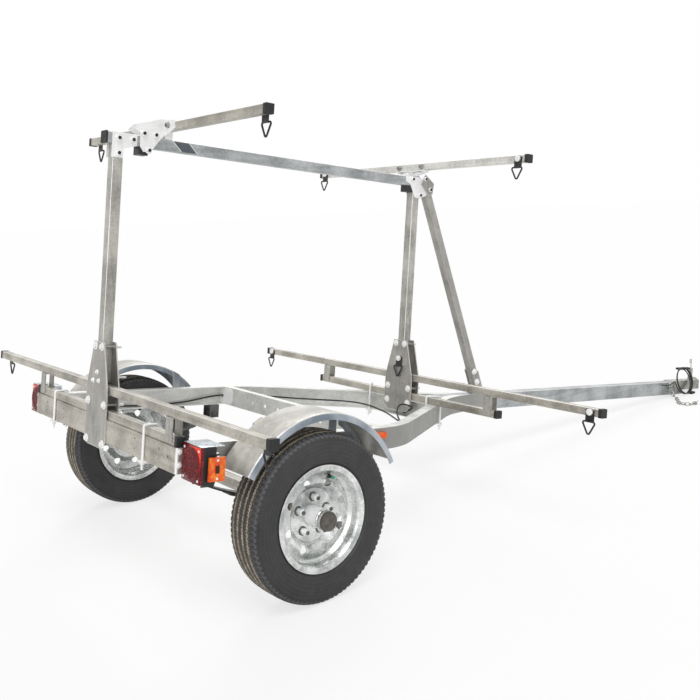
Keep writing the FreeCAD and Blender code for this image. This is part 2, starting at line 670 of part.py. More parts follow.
middle_half = RAIL_Y - RAIL_THICKNESS
middle = channel_x(MIDDLE_X - MIDDLE_DEPTH / 2, MIDDLE_X + MIDDLE_DEPTH / 2, middle_half, True)
middle_inner_half = RAIL_Y - RAIL_FLANGE
trim_low = box(MIDDLE_X - MIDDLE_DEPTH, MIDDLE_X + MIDDLE_DEPTH, middle_inner_half, RAIL_Y,
               FRAME_BOTTOM, FRAME_BOTTOM + RAIL_THICKNESS)
trim_top = box(MIDDLE_X - MIDDLE_DEPTH, MIDDLE_X + MIDDLE_DEPTH, middle_inner_half, RAIL_Y,
               FRAME_TOP - RAIL_THICKNESS, FRAME_TOP)
for trim in both_sides(trim_low) + both_sides(trim_top):
    middle = middle.cut(trim)
for side in (-1, 1):
    for i in range(MIDDLE_HOLE_SIDE_COUNT):
        hole_y = side * (MIDDLE_HOLE_PITCH + MIDDLE_HOLE_PITCH * i)
        start = V(MIDDLE_X - MIDDLE_DEPTH, hole_y, FRAME_BOTTOM + FRAME_HEIGHT / 2)
        middle = middle.cut(rod(start, start.add(V(MIDDLE_DEPTH, 0, 0)), MIDDLE_HOLE_RADIUS))
rail_solid = web.fuse(top_flange).fuse(low_flange)
middle = middle.cut(rail_solid).cut(mirrored(rail_solid))
for side in (-1, 1):
    middle = middle.cut(wire_hole(LIGHT_RUN[0], LEFT_ROUTE[-2], side))
middle = max(middle.Solids, key=lambda s: s.Volume)
keep("middle_cross_member", [middle])

# Plates that join the middle member to the side rails, between their flanges
plate_front = MIDDLE_X - MIDDLE_DEPTH / 2
joint_plate = box(plate_front - JOINT_PLATE_THICKNESS, plate_front, -middle_half,
                  JOINT_PLATE_WIDTH - middle_half, FRAME_BOTTOM + RAIL_THICKNESS, FRAME_TOP - RAIL_THICKNESS)
free_corners = [e for e in joint_plate.Edges
                if abs(e.Length - JOINT_PLATE_THICKNESS) < CUT_ROOM
                and e.CenterOfMass.y > JOINT_PLATE_WIDTH / 2 - middle_half]
joint_plate = joint_plate.makeChamfer(JOINT_PLATE_CORNER, free_corners)
joint_plate = joint_plate.cut(rail_solid).cut(wire_hole(LIGHT_RUN[0], LEFT_ROUTE[-2], -1))
keep("middle_member_plates", both_sides(joint_plate))

front_back = FRONT_X
front_front = FRONT_X + FRONT_DEPTH
front_member = channel_x(front_back, front_front, RAIL_Y, False)
rail_slope = math.tan(math.radians(RAIL_ANGLE))


def web_inside_y(x):
    web_width = RAIL_THICKNESS / math.cos(math.radians(RAIL_ANGLE))
    return RAIL_Y - (x - RAIL_TURN_X) * rail_slope - web_width


between = prism_z([(front_back, -web_inside_y(front_back)), (front_front, -web_inside_y(front_front)),
                   (front_front, web_inside_y(front_front)), (front_back, web_inside_y(front_back))],
                  FRAME_BOTTOM, FRAME_TOP)
front_member = front_member.common(between)
front_member = front_member.cut(rail_solid).cut(mirrored(rail_solid))
front_member = front_member.cut(wire_hole(TONGUE_RUN[-1], FRAME_RUN[0], 1))
front_member = front_member.cut(plate_bolt_holes(FRONT_STATION_X, FRONT_BOLT_ZS))
front_member = max(front_member.Solids, key=lambda s: s.Volume)
keep("front_cross_member", [front_member])

# Tongue
tongue_outer = box(TONGUE_START_X, TONGUE_END_X, -tongue_half, tongue_half, FRAME_BOTTOM, FRAME_TOP)
tongue_outer = round_long_edges(tongue_outer, TONGUE_END_X - TONGUE_START_X, TONGUE_CORNER)
inner_tongue = tongue_half - TONGUE_WALL
tongue = tongue_outer.cut(box(TONGUE_START_X, TONGUE_END_X, -inner_tongue, inner_tongue,
                              FRAME_BOTTOM + TONGUE_WALL, FRAME_TOP - TONGUE_WALL))
keep("tongue_tube", [tongue])

# Coupler: a pressed channel over the tongue end that narrows to a ball socket
skirt_low = FRAME_TOP - COUPLER_SKIRT
coupler_half = tongue_half + COUPLER_WALL
coupler_top = FRAME_TOP + COUPLER_WALL
body = box(COUPLER_BACK_X, TONGUE_END_X, -coupler_half, coupler_half, skirt_low, coupler_top)
body = body.cut(box(COUPLER_BACK_X, TONGUE_END_X, -tongue_half, tongue_half, skirt_low, FRAME_TOP))
neck = box(TONGUE_END_X, SOCKET_X, -coupler_half, coupler_half, skirt_low, coupler_top)
neck = neck.cut(box(TONGUE_END_X, SOCKET_X, -tongue_half, tongue_half, skirt_low, FRAME_TOP))
socket = Part.makeCylinder(SOCKET_OUTER, coupler_top - skirt_low, V(SOCKET_X, 0, skirt_low))
dome = Part.makeSphere(SOCKET_OUTER, V(SOCKET_X, 0, coupler_top - SOCKET_OUTER + SOCKET_RISE))
dome = dome.common(box(SOCKET_X - SOCKET_OUTER, SOCKET_X + SOCKET_OUTER, -SOCKET_OUTER, SOCKET_OUTER,
                       skirt_low, coupler_top + SOCKET_RISE))
coupler = body.fuse(neck).fuse(socket).fuse(dome)
ball_z = skirt_low + SOCKET_RIM
ball_room = Part.makeSphere(SOCKET_RADIUS, V(SOCKET_X, 0, ball_z))
ball_entry = Part.makeCylinder(SOCKET_RADIUS, SOCKET_RIM, V(SOCKET_X, 0, skirt_low))
coupler = coupler.cut(ball_room).cut(ball_entry).removeSplitter()
latch_z = coupler_top + LATCH_RISE
latch_back_x = LATCH_FRONT_X - LATCH_LENGTH
half_latch = LATCH_WIDTH / 2
latch_arm = box(latch_back_x, LATCH_FRONT_X, -half_latch, half_latch, latch_z, latch_z + LATCH_THICKNESS)
latch_post = box(LATCH_FRONT_X - LATCH_POST, LATCH_FRONT_X, -half_latch, half_latch, coupler_top, latch_z)
heel_x = LATCH_FRONT_X - LATCH_POST
latch_heel = prism_y([(heel_x, coupler_top), (heel_x, latch_z), (heel_x - LATCH_RISE / 2, coupler_top)],
                     -LATCH_THICKNESS / 2, LATCH_THICKNESS / 2)
grip_half = half_latch + GRIP_SKIN
grip = box(latch_back_x - GRIP_SKIN, latch_back_x + GRIP_LENGTH, -grip_half, grip_half,
           latch_z - GRIP_SKIN, latch_z + LATCH_THICKNESS + GRIP_SKIN)
grip = round_long_edges(grip, GRIP_LENGTH + GRIP_SKIN, GRIP_SKIN)
grip = grip.cut(latch_arm)
pin_x = LATCH_FRONT_X - LATCH_POST / 2
pin_low = latch_z + LATCH_THICKNESS
pin_top = pin_low + PIN_RISE
pin_points = [V(pin_x, 0, pin_low), V(pin_x, 0, pin_top), V(pin_x - PIN_LOOP, 0, pin_top),
              V(pin_x - PIN_LOOP, 0, pin_top - PIN_RISE / 2)]
latch_pin = swept_rod(pin_points, PIN_LOOP / 2 - CUT_ROOM, PIN_WIRE)
latch = fuse_all([latch_arm, latch_post, latch_heel]).cut(coupler)
keep("coupler_body", [coupler])
keep("coupler_latch", [latch, latch_pin])
keep("latch_grip", [grip])

# Axle with its two spindles
half_axle = AXLE_SIZE / 2
axle = square_tube(2 * AXLE_HALF, AXLE_SIZE, AXLE_WALL, AXLE_WALL)
axle.rotate(V(0, 0, 0), V(0, 0, 1), RIGHT_ANGLE)
axle.translate(V(0, -AXLE_HALF, AXLE_Z))
spindle = rod(V(0, AXLE_HALF - HUB_BARREL_IN, AXLE_Z), V(0, AXLE_HALF + SPINDLE_LENGTH, AXLE_Z),
              SPINDLE_RADIUS)
keep("axle_beam", [fuse_all([axle] + both_sides(spindle))])


# Leaf springs with their hangers, tie plate and bolts
def leaf(share, place):
    radius = (SPRING_HALF ** 2 + SPRING_ARCH ** 2) / (2 * SPRING_ARCH)
    centre_z = main_bottom + radius
    spread = math.asin(SPRING_HALF / radius) * share
    outer = radius + SPRING_LEAF * place
    inner = outer - SPRING_LEAF
    arcs = []
    for size in (outer, inner):
        places = []
        for turn in (-spread, 0, spread):
            places.append(V(size * math.sin(turn), 0, centre_z - size * math.cos(turn)))
        arcs.append(places)
    edges = [Part.Arc(*places).toShape() for places in arcs]
    edges.append(Part.makeLine(arcs[0][0], arcs[1][0]))
    edges.append(Part.makeLine(arcs[0][2], arcs[1][2]))
    face = Part.Face(Part.Wire(Part.__sortEdges__(edges)))
    solid = face.extrude(V(0, SPRING_WIDTH, 0))
    solid.translate(V(0, -SPRING_Y - SPRING_WIDTH / 2, 0))
    return solid


leaf_count = len(SPRING_LEAF_SHARES)
main_bottom = AXLE_Z + half_axle + SPRING_LEAF * (leaf_count - 1)
leaves = [leaf(share, i) for i, share in enumerate(SPRING_LEAF_SHARES)]
pack_top = AXLE_Z + half_axle + SPRING_LEAF * leaf_count
eye_z = main_bottom + SPRING_ARCH + SPRING_EYE_RADIUS
spring_out = -SPRING_Y - SPRING_WIDTH / 2
spring_in = -SPRING_Y + SPRING_WIDTH / 2
hardware = []
for end in (-1, 1):
    eye_x = end * SPRING_HALF
    eye = rod(V(eye_x, spring_out, eye_z), V(eye_x, spring_in, eye_z), SPRING_EYE_RADIUS)
    eye = eye.cut(rod(V(eye_x, spring_out, eye_z), V(eye_x, spring_in, eye_z), SPRING_EYE_BORE))
    leaves[0] = leaves[0].fuse(eye)
    back = eye_x - HANGER_LENGTH / 2
    front = eye_x + HANGER_LENGTH / 2
    outer = box(back, front, spring_out - HANGER_THICKNESS, spring_out, eye_z - SPRING_EYE_RADIUS,
                FRAME_BOTTOM)
    inner = box(back, front, spring_in, spring_in + HANGER_THICKNESS, eye_z - SPRING_EYE_RADIUS,
                FRAME_BOTTOM)
    roof = box(back, front, spring_out, spring_in, FRAME_BOTTOM - HANGER_THICKNESS, FRAME_BOTTOM)
    pin = rod(V(eye_x, spring_out - 2 * HANGER_THICKNESS, eye_z),
              V(eye_x, spring_in + 2 * HANGER_THICKNESS, eye_z), SPRING_EYE_BORE)
    hardware.append(fuse_all([outer, inner, roof, pin]))
leaves[0] = leaves[0].removeSplitter()
tie_low = AXLE_Z - half_axle - SPRING_PLATE
tie = box(-AXLE_SIZE, AXLE_SIZE, spring_out - 2 * SPRING_PLATE, spring_in + 2 * SPRING_PLATE, tie_low,
          tie_low + SPRING_PLATE)
clamp = [tie]
bolt_top = pack_top + SPRING_BOLT_RADIUS + CUT_ROOM
for bolt_x in (-half_axle - SPRING_PLATE, half_axle + SPRING_PLATE):
    out_y = spring_out - SPRING_PLATE
    in_y = spring_in + SPRING_PLATE
    points = [V(bolt_x, out_y, tie_low - CLAMP_TAIL / 2), V(bolt_x, out_y, bolt_top),
              V(bolt_x, in_y, bolt_top), V(bolt_x, in_y, tie_low - CLAMP_TAIL / 2)]
    clamp.append(swept_rod(points, SPRING_BOLT_RADIUS + CUT_ROOM, SPRING_BOLT_RADIUS))
hardware.append(fuse_all(clamp))
right_spring = leaves + hardware
keep("leaf_spring_right", [s.copy() for s in right_spring])
keep("leaf_spring_left", [mirrored(s) for s in right_spring])


# Wheels
half_tyre = TYRE_WIDTH / 2
half_bead = TYRE_BEAD_WIDTH / 2
bead_side = half_bead + RIM_WALL
tyre_middle_radius = (TYRE_RADIUS + TYRE_BEAD_RADIUS) / 2
tyre_side = [(half_bead, TYRE_BEAD_RADIUS), (bead_side, TYRE_BEAD_RADIUS + RIM_LIP),
             (bead_side, RIM_FLANGE_RADIUS + CUT_ROOM), (half_tyre, tyre_middle_radius),
             (half_tyre - RIM_WALL, TYRE_SHOULDER_RADIUS - TYRE_WALL),
             (half_tyre - TYRE_WALL, TYRE_SHOULDER_RADIUS + RIM_LIP),
             (half_tyre - 2 * TYRE_WALL, TYRE_RADIUS - CUT_ROOM)]
tyre_outer = [(-y, r) for y, r in tyre_side] + [(0, TYRE_RADIUS)] + list(reversed(tyre_side))
inner_side = [(half_bead - TYRE_WALL, TYRE_BEAD_RADIUS), (half_tyre - TYRE_WALL, tyre_middle_radius),
              (half_tyre - 2 * TYRE_WALL, TYRE_RADIUS - TYRE_WALL)]
tyre_inner = inner_side + [(-y, r) for y, r in reversed(inner_side)]
right_tyre = revolve_y(tyre_outer + tyre_inner, -WHEEL_Y)

half_rim = RIM_WIDTH / 2
half_well = WELL_WIDTH / 2
rim_out = [(-half_rim, RIM_FLANGE_RADIUS), (-half_rim + RIM_WALL, RIM_FLANGE_RADIUS),
           (-half_bead - RIM_WALL, RIM_SEAT_RADIUS + RIM_WALL), (-half_bead + TYRE_WALL, RIM_SEAT_RADIUS),
           (-half_well - RIM_WALL, RIM_SEAT_RADIUS - CUT_ROOM), (-half_well, RIM_WELL_RADIUS + RIM_WALL)]
rim_back = [(-half_well + RIM_WALL, RIM_WELL_RADIUS),
            (-half_well - 2 * RIM_WALL, RIM_SEAT_RADIUS - RIM_LIP),
            (-half_bead, RIM_SEAT_RADIUS - RIM_WALL - CUT_ROOM),
            (-half_bead - 2 * RIM_WALL, RIM_SEAT_RADIUS),
            (-half_rim, RIM_FLANGE_RADIUS - RIM_LIP)]
rim_section = rim_out + [(-y, r) for y, r in reversed(rim_out)]
rim_section = rim_section + [(-y, r) for y, r in reversed(rim_back)] + rim_back
rim = revolve_y(rim_section, -WHEEL_Y)
face_y = -DISC_FACE_OUT
crown_radius = HAND_HOLE_CIRCLE + HAND_HOLE_RADIUS / 2
disc_edge = RIM_WELL_RADIUS + RIM_WALL / 2
disc_section = [(face_y, DISC_INNER_RADIUS), (face_y, DISC_FACE_RADIUS),
                (face_y - DISC_CROWN, DISC_CROWN_RADIUS), (face_y - DISC_CROWN, crown_radius),
                (face_y - DISC_CROWN / 2, disc_edge),
                (face_y - DISC_CROWN / 2 + DISC_THICKNESS, disc_edge),
                (face_y - DISC_CROWN + DISC_THICKNESS, crown_radius - CUT_ROOM),
                (face_y - DISC_CROWN + DISC_THICKNESS, DISC_CROWN_RADIUS),
                (face_y + DISC_THICKNESS, DISC_FACE_RADIUS), (face_y + DISC_THICKNESS, DISC_INNER_RADIUS)]
disc = revolve_y(disc_section, -WHEEL_Y)
for i in range(HAND_HOLE_COUNT):
    turn = math.radians(FULL_TURN * (i + HALF_SHARE) / HAND_HOLE_COUNT)
    x = HAND_HOLE_CIRCLE * math.cos(turn)
    z = AXLE_Z + HAND_HOLE_CIRCLE * math.sin(turn)
    hole_start = V(x, -WHEEL_Y - half_rim, z)
    disc = disc.cut(rod(hole_start, V(x, -WHEEL_Y + half_rim, z), HAND_HOLE_RADIUS))
right_rim = rim.fuse(disc).removeSplitter()

hub_in_y = -WHEEL_Y + DISC_THICKNESS - DISC_FACE_OUT
barrel_in = hub_in_y + HUB_BARREL_IN
barrel_out = -WHEEL_Y - HUB_BARREL_OUT
hub_section = [(barrel_in, HUB_BORE_RADIUS), (barrel_in, HUB_BARREL_RADIUS),
               (hub_in_y + HUB_FLANGE_THICKNESS, HUB_BARREL_RADIUS),
               (hub_in_y + HUB_FLANGE_THICKNESS, HUB_FLANGE_RADIUS), (hub_in_y, HUB_FLANGE_RADIUS),
               (hub_in_y, HUB_BARREL_RADIUS), (barrel_out, HUB_BARREL_RADIUS),
               (barrel_out, CAP_RADIUS), (-WHEEL_Y - CAP_OUT + CAP_EDGE, CAP_RADIUS),
               (-WHEEL_Y - CAP_OUT, CAP_RADIUS - CAP_EDGE), (-WHEEL_Y - CAP_OUT, 0),
               (-AXLE_HALF - SPINDLE_LENGTH - CAP_EDGE, 0),
               (-AXLE_HALF - SPINDLE_LENGTH - CAP_EDGE, HUB_BORE_RADIUS)]
hub = revolve_y(hub_section, 0)
for i in range(LUG_COUNT):
    turn = math.radians(FULL_TURN * i / LUG_COUNT + RIGHT_ANGLE)
    x = LUG_CIRCLE_RADIUS * math.cos(turn)
    z = AXLE_Z + LUG_CIRCLE_RADIUS * math.sin(turn)
    stud = rod(V(x, hub_in_y + HUB_FLANGE_THICKNESS, z), V(x, hub_in_y - STUD_LENGTH, z), STUD_RADIUS)
    nut = hex_nut(V(x, hub_in_y - DISC_THICKNESS, z), V(0, -1, 0), LUG_NUT_RADIUS, LUG_NUT_HEIGHT)
    hub = hub.fuse(stud).fuse(nut)
    right_rim = right_rim.cut(rod(V(x, -WHEEL_Y - half_rim, z), V(x, hub_in_y, z), STUD_RADIUS))
hub = hub.removeSplitter()
for name, solid in (("tyre", right_tyre), ("wheel_rim", right_rim), ("hub", hub)):
    keep(name + "_right", [solid.copy()])
    keep(name + "_left", [mirrored(solid)])


# Fenders
def arc_points(radius, y):
    start = math.radians(FENDER_START_ANGLE)
    end = math.radians(FENDER_END_ANGLE)
    middle_turn = (start + end) / 2
    places = []
    for turn in (start, middle_turn, end):
        places.append(V(radius * math.cos(turn), y, AXLE_Z + radius * math.sin(turn)))
    return places


def fender_shell(outer_radius, inner_radius, y0, y1):
    a = arc_points(outer_radius, y0)
    b = arc_points(inner_radius, y0)
    edges = [Part.Arc(*a).toShape(), Part.Arc(*b).toShape(), Part.makeLine(a[0], b[0]),
             Part.makeLine(a[2], b[2])]
    face = Part.Face(Part.Wire(Part.__sortEdges__(edges)))
    return face.extrude(V(0, y1 - y0, 0))


def crown_edges(inset):
    bend = FENDER_EDGE_RADIUS - inset
    bend_z = FENDER_RADIUS - FENDER_EDGE_RADIUS
    slant = bend * math.sin(math.radians(RIGHT_ANGLE / 2))
    inner_y = -FENDER_IN_Y - inset
    outer_y = -FENDER_OUT_Y + inset
    low = FENDER_RADIUS - FENDER_LIP
    inner_low = V(low, inner_y, AXLE_Z)
    inner_bend = V(bend_z, inner_y, AXLE_Z)
    inner_middle = V(bend_z + slant, inner_y - bend + slant, AXLE_Z)
    inner_top = V(bend_z + bend, inner_y - bend, AXLE_Z)
    outer_top = V(bend_z + bend, outer_y + bend, AXLE_Z)
    outer_middle = V(bend_z + slant, outer_y + bend - slant, AXLE_Z)
    outer_bend = V(bend_z, outer_y, AXLE_Z)
    outer_low = V(low, outer_y, AXLE_Z)
    edges = [Part.makeLine(inner_low, inner_bend), Part.Arc(inner_bend, inner_middle, inner_top).toShape(),
             Part.makeLine(inner_top, outer_top), Part.Arc(outer_top, outer_middle, outer_bend).toShape(),
             Part.makeLine(outer_bend, outer_low)]
    return edges, inner_low, outer_low


outer_edges, outer_first, outer_last = crown_edges(0)
inner_edges, inner_first, inner_last = crown_edges(FENDER_THICKNESS)
rims = [Part.makeLine(outer_first, inner_first), Part.makeLine(outer_last, inner_last)]
section = Part.Face(Part.Wire(Part.__sortEdges__(outer_edges + inner_edges + rims)))
wheel_middle = V(0, 0, AXLE_Z)
section.rotate(wheel_middle, V(0, -1, 0), FENDER_START_ANGLE)
fender = section.revolve(wheel_middle, V(0, -1, 0), FENDER_END_ANGLE - FENDER_START_ANGLE)
straps = []
strap_top = FENDER_RADIUS - FENDER_THICKNESS
strap_low = strap_top - FENDER_STRAP_THICKNESS
for angle in FENDER_STRAP_ANGLES:
    turn = math.radians(angle)
    x = strap_top * math.cos(turn)
    half = FENDER_STRAP_WIDTH / 2
    region = box(x - half, x + half, -RAIL_Y - FENDER_STRAP_REACH, -RAIL_Y, AXLE_Z, AXLE_Z + FENDER_RADIUS)
    ring = fender_shell(strap_top, strap_low, -RAIL_Y - FENDER_STRAP_REACH, -RAIL_Y)
    tab = ring.common(region)
    upright = box(x - half, x + half, -RAIL_Y - FENDER_STRAP_THICKNESS, -RAIL_Y,
                  FRAME_BOTTOM + FENDER_STRAP_WIDTH, AXLE_Z + FENDER_RADIUS)
    upright = upright.common(Part.makeCylinder(strap_top, 2 * RAIL_Y, V(0, 0, AXLE_Z), V(0, -1, 0)))
    straps.append(tab.fuse(upright).removeSplitter())
    notch_half = half + FENDER_NOTCH_GAP
    fender = fender.cut(box(x - notch_half, x + notch_half, -FENDER_IN_Y - FENDER_EDGE_RADIUS,
                            -FENDER_IN_Y + CUT_ROOM, AXLE_Z, AXLE_Z + FENDER_RADIUS + CUT_ROOM))
right_fender = [fender] + straps
keep("fender_right", [s.copy() for s in right_fender])
keep("fender_left", [mirrored(s) for s in right_fender])

# Lights
light_out = -LIGHT_IN_Y - LIGHT_WIDTH
housing_front = LIGHT_BACK_X + LIGHT_DEPTH
housing = box(LIGHT_BACK_X + LENS_DEPTH, housing_front, light_out, -LIGHT_IN_Y, LIGHT_Z,
              LIGHT_Z + LIGHT_HEIGHT)
housing_edges = [e for e in housing.Edges if abs(e.Length - LIGHT_DEPTH + LENS_DEPTH) < CUT_ROOM]
housing = housing.makeFillet(LIGHT_CORNER, housing_edges)
pad = box(MARKER_X, housing_front, light_out - MARKER_PAD, light_out, MARKER_Z, MARKER_Z + MARKER_HEIGHT)
housing = housing.fuse(pad).removeSplitter()
lens = box(LIGHT_BACK_X, LIGHT_BACK_X + LENS_DEPTH, light_out, -LIGHT_IN_Y, LIGHT_Z,
           LIGHT_Z + LIGHT_HEIGHT)
lens_edges = [e for e in lens.Edges if abs(e.Length - LENS_DEPTH) < CUT_ROOM]
lens = lens.makeFillet(LIGHT_CORNER, lens_edges)
marker = box(MARKER_X, MARKER_X + MARKER_LENGTH, light_out - MARKER_PAD - MARKER_THICKNESS,
             light_out - MARKER_PAD, MARKER_Z, MARKER_Z + MARKER_HEIGHT)
keep("tail_light_housing_right", [housing.copy()])
keep("tail_light_housing_left", [mirrored(housing)])
keep("tail_light_lens_right", [lens.copy()])
keep("tail_light_lens_left", [mirrored(lens)])
keep("side_marker_right", [marker.copy()])
keep("side_marker_left", [mirrored(marker)])
small = box(SMALL_MARKER_X, SMALL_MARKER_X + SMALL_MARKER_LENGTH, -RAIL_Y - SMALL_MARKER_DEPTH, -RAIL_Y,
            SMALL_MARKER_Z, SMALL_MARKER_Z + SMALL_MARKER_HEIGHT)
keep("front_markers", both_sides(small))

# Base bars, load bars and their end caps
half_bar = BAR_SIZE / 2
base_z = FRAME_TOP + half_bar
bar_list = (("base_bar_rear", REAR_STATION_X, base_z, BASE_BAR_HALF),
            ("base_bar_front", FRONT_STATION_X, base_z, BASE_BAR_HALF),
            ("load_bar_lower_rear", REAR_STATION_X, LOAD_BAR_Z, LOAD_BAR_HALF),
            ("load_bar_lower_front", FRONT_STATION_X, LOAD_BAR_Z, LOAD_BAR_HALF),
            ("load_bar_upper_rear", UPPER_REAR_X, UPPER_BAR_Z, UPPER_BAR_HALF),
            ("load_bar_upper_front", UPPER_FRONT_X, UPPER_BAR_Z, UPPER_BAR_HALF))
lower_caps = []
upper_caps = []
for name, x, z, half in bar_list:
    stops = (PLATE_LOW_HALF, half - CAP_LENGTH) if half == LOAD_BAR_HALF else ()
    keep(name, [capped_bar(x, z, half - CAP_WALL, stops)])
    target = upper_caps if z > BEAM_TOP else lower_caps
    target.extend(bar_caps(x, z, half))
cap_step = (CAP_SIZE - BAR_SIZE) / 2
lower_trim = box(REAR_STATION_X - RAIL_Y, FRONT_STATION_X + RAIL_Y, -RAIL_Y - RAIL_Y, RAIL_Y + RAIL_Y,
                 FRAME_BOTTOM, FRAME_TOP)
lower_caps = [cap.cut(lower_trim) if cap.BoundBox.ZMin < FRAME_TOP else cap for cap in lower_caps]
beam_cap_half = MAST_SIZE / 2 + cap_step
beam_cap = box(BEAM_BACK_X, BEAM_BACK_X + CAP_LENGTH / 2, -beam_cap_half, beam_cap_half,
               BEAM_BOTTOM - cap_step, BEAM_TOP + cap_step)
beam_cap = round_long_edges(beam_cap, CAP_LENGTH / 2, CAP_CORNER)
beam_cap = beam_cap.cut(box(BEAM_BACK_X + CAP_WALL, BEAM_BACK_X + CAP_LENGTH, -MAST_SIZE / 2,
                            MAST_SIZE / 2, BEAM_BOTTOM, BEAM_TOP))
upper_caps.append(beam_cap)
keep("end_caps_lower", lower_caps)
keep("end_caps_upper", upper_caps)


# Riser brackets between the base bars and the lower load bars
def riser(x, y):
    inner = half_bar
    outer = half_bar + RISER_THICKNESS
    low = base_z + half_bar - RISER_DROP
    top = LOAD_BAR_Z - half_bar
    shell = box(x - outer, x + outer, y - RISER_WIDTH / 2, y + RISER_WIDTH / 2, low, top)
    room = box(x - inner, x + inner, y - RISER_WIDTH / 2, y + RISER_WIDTH / 2, low, top - RISER_THICKNESS)
    return shell.cut(room)


keep("risers_rear", [riser(REAR_STATION_X, y) for y in (-RISER_Y, RISER_Y)])
keep("risers_front", [riser(FRONT_STATION_X, y) for y in (-RISER_Y, RISER_Y)])


# Frame clamps: U-bolts over the base bars with a plate and nuts under the frame
def frame_clamp(x, back_y, front_y):
    top = base_z + half_bar + CLAMP_ROD_RADIUS + CLAMP_GAP / 2
    low = FRAME_BOTTOM - CLAMP_PLATE_THICKNESS
    tail = low - CLAMP_TAIL
    back = V(x - CLAMP_REACH, back_y, tail)
    front = V(x + CLAMP_REACH, front_y, tail)
    points = [back, V(back.x, back.y, top), V(front.x, front.y, top), front]
    bolt = swept_rod(points, CLAMP_BEND, CLAMP_ROD_RADIUS)
    length = math.hypot(front.x - back.x, front.y - back.y) + 2 * CLAMP_PLATE_MARGIN
    plate = box(-length / 2, length / 2, -CLAMP_PLATE_WIDTH / 2, CLAMP_PLATE_WIDTH / 2, low, FRAME_BOTTOM)
    turn = math.degrees(math.atan2(front.y - back.y, front.x - back.x))
    plate.rotate(V(0, 0, 0), V(0, 0, 1), turn)
    plate.translate(V((back.x + front.x) / 2, (back.y + front.y) / 2, 0))
    solid = bolt.fuse(plate)
    for foot in (back, front):
        solid = solid.fuse(hex_nut(V(foot.x, foot.y, low - NUT_HEIGHT), V(0, 0, 1), NUT_RADIUS, NUT_HEIGHT))
    return solid.removeSplitter()


rear_clamp = frame_clamp(REAR_STATION_X, -REAR_CLAMP_Y, -REAR_CLAMP_Y)
front_clamp = frame_clamp(FRONT_STATION_X, -FRONT_CLAMP_BACK_Y, -FRONT_CLAMP_FRONT_Y)
keep("frame_clamps_rear", both_sides(rear_clamp))
keep("frame_clamps_front", both_sides(front_clamp))


# Mast plates, with the bolts that draw them together
def plate_outline(bottom):
    right = [(PLATE_LOW_HALF - PLATE_CHAMFER, bottom), (PLATE_LOW_HALF, bottom + PLATE_CHAMFER),
             (PLATE_LOW_HALF, PLATE_WAIST_Z), (PLATE_TOP_HALF, PLATE_TOP_Z)]
    return right + [(-y, z) for y, z in reversed(right)]


def plate_bolt(x, y, z):
    reach = MAST_SIZE / 2 + PLATE_THICKNESS
    shank = rod(V(x - reach, y, z), V(x + reach, y, z), PLATE_BOLT_RADIUS)
    head = hex_nut(V(x - reach, y, z), V(-1, 0, 0), PLATE_BOLT_HEAD_RADIUS, PLATE_BOLT_HEAD)
    nut = hex_nut(V(x + reach, y, z), V(1, 0, 0), PLATE_BOLT_HEAD_RADIUS, PLATE_BOLT_HEAD)
    return shank.fuse(head).fuse(nut).removeSplitter()


def mast_plates(x, bottom, bolt_zs):
    half = MAST_SIZE / 2
    back = prism_x(plate_outline(bottom), x - half - PLATE_THICKNESS, x - half)
    front = prism_x(plate_outline(bottom), x + half, x + half + PLATE_THICKNESS)
    places = [(PLATE_TOP_BOLT_Y, PLATE_TOP_Z - PLATE_TOP_BOLT_DROP)]
    places.extend((PLATE_LOW_BOLT_Y, z) for z in bolt_zs)
    places = places + [(-y, z) for y, z in places]
    bolts = []
    for y, z in places:
        shank = rod(V(x - half - PLATE_THICKNESS, y, z), V(x + half + PLATE_THICKNESS, y, z),
                    PLATE_BOLT_RADIUS)
        back = back.cut(shank)
        front = front.cut(shank)
        bolts.append(plate_bolt(x, y, z))
    return [back, front] + bolts


keep("mast_plates_rear", mast_plates(REAR_STATION_X, REAR_PLATE_BOTTOM, REAR_BOLT_ZS))
keep("mast_plates_front", mast_plates(FRONT_STATION_X, FRONT_PLATE_BOTTOM, FRONT_BOLT_ZS))

mast_foot = LOAD_BAR_Z + half_bar + MAST_FOOT_GAP
for name, x in (("mast_rear", REAR_STATION_X), ("mast_front", FRONT_STATION_X)):
    mast = tube_between(V(x, 0, mast_foot), V(x, 0, BEAM_BOTTOM), MAST_SIZE, MAST_WALL, MAST_CORNER)
    keep(name, [mast])
beam_z = BEAM_TOP - MAST_SIZE / 2
beam = tube_between(V(BEAM_BACK_X + CAP_WALL, 0, beam_z), V(BEAM_FRONT_X, 0, beam_z), MAST_SIZE,
                    MAST_WALL, MAST_CORNER)
keep("top_beam", [beam])

# Top joints: outlines stand away from their station in X and from the beam's top in Z
def side_plate(outline, station, y0, y1):
    return prism_y([(station + x, BEAM_TOP + z) for x, z in outline], y0, y1)


def bolt_heads(places, station, out):
    heads = []
    for x, z in places:
        for side in (-1, 1):
            heads.append(hex_nut(V(station + x, side * out, BEAM_TOP + z), V(0, side, 0),
                                 PLATE_BOLT_HEAD_RADIUS, PLATE_BOLT_HEAD))
    return heads


gusset_in = MAST_SIZE / 2
gusset_out = gusset_in + GUSSET_THICKNESS
gusset_outline = ((GUSSET_BACK, -GUSSET_DROP), (GUSSET_LEG, -GUSSET_DROP), (GUSSET_LEG, -GUSSET_INNER_DROP),
                  (GUSSET_FRONT, -MAST_SIZE), (GUSSET_FRONT, 0), (GUSSET_BACK, 0))
gusset = side_plate(gusset_outline, REAR_STATION_X, -gusset_out, -gusset_in)
keep("corner_gussets_rear", both_sides(gusset) + bolt_heads(GUSSET_BOLTS, REAR_STATION_X, gusset_out))

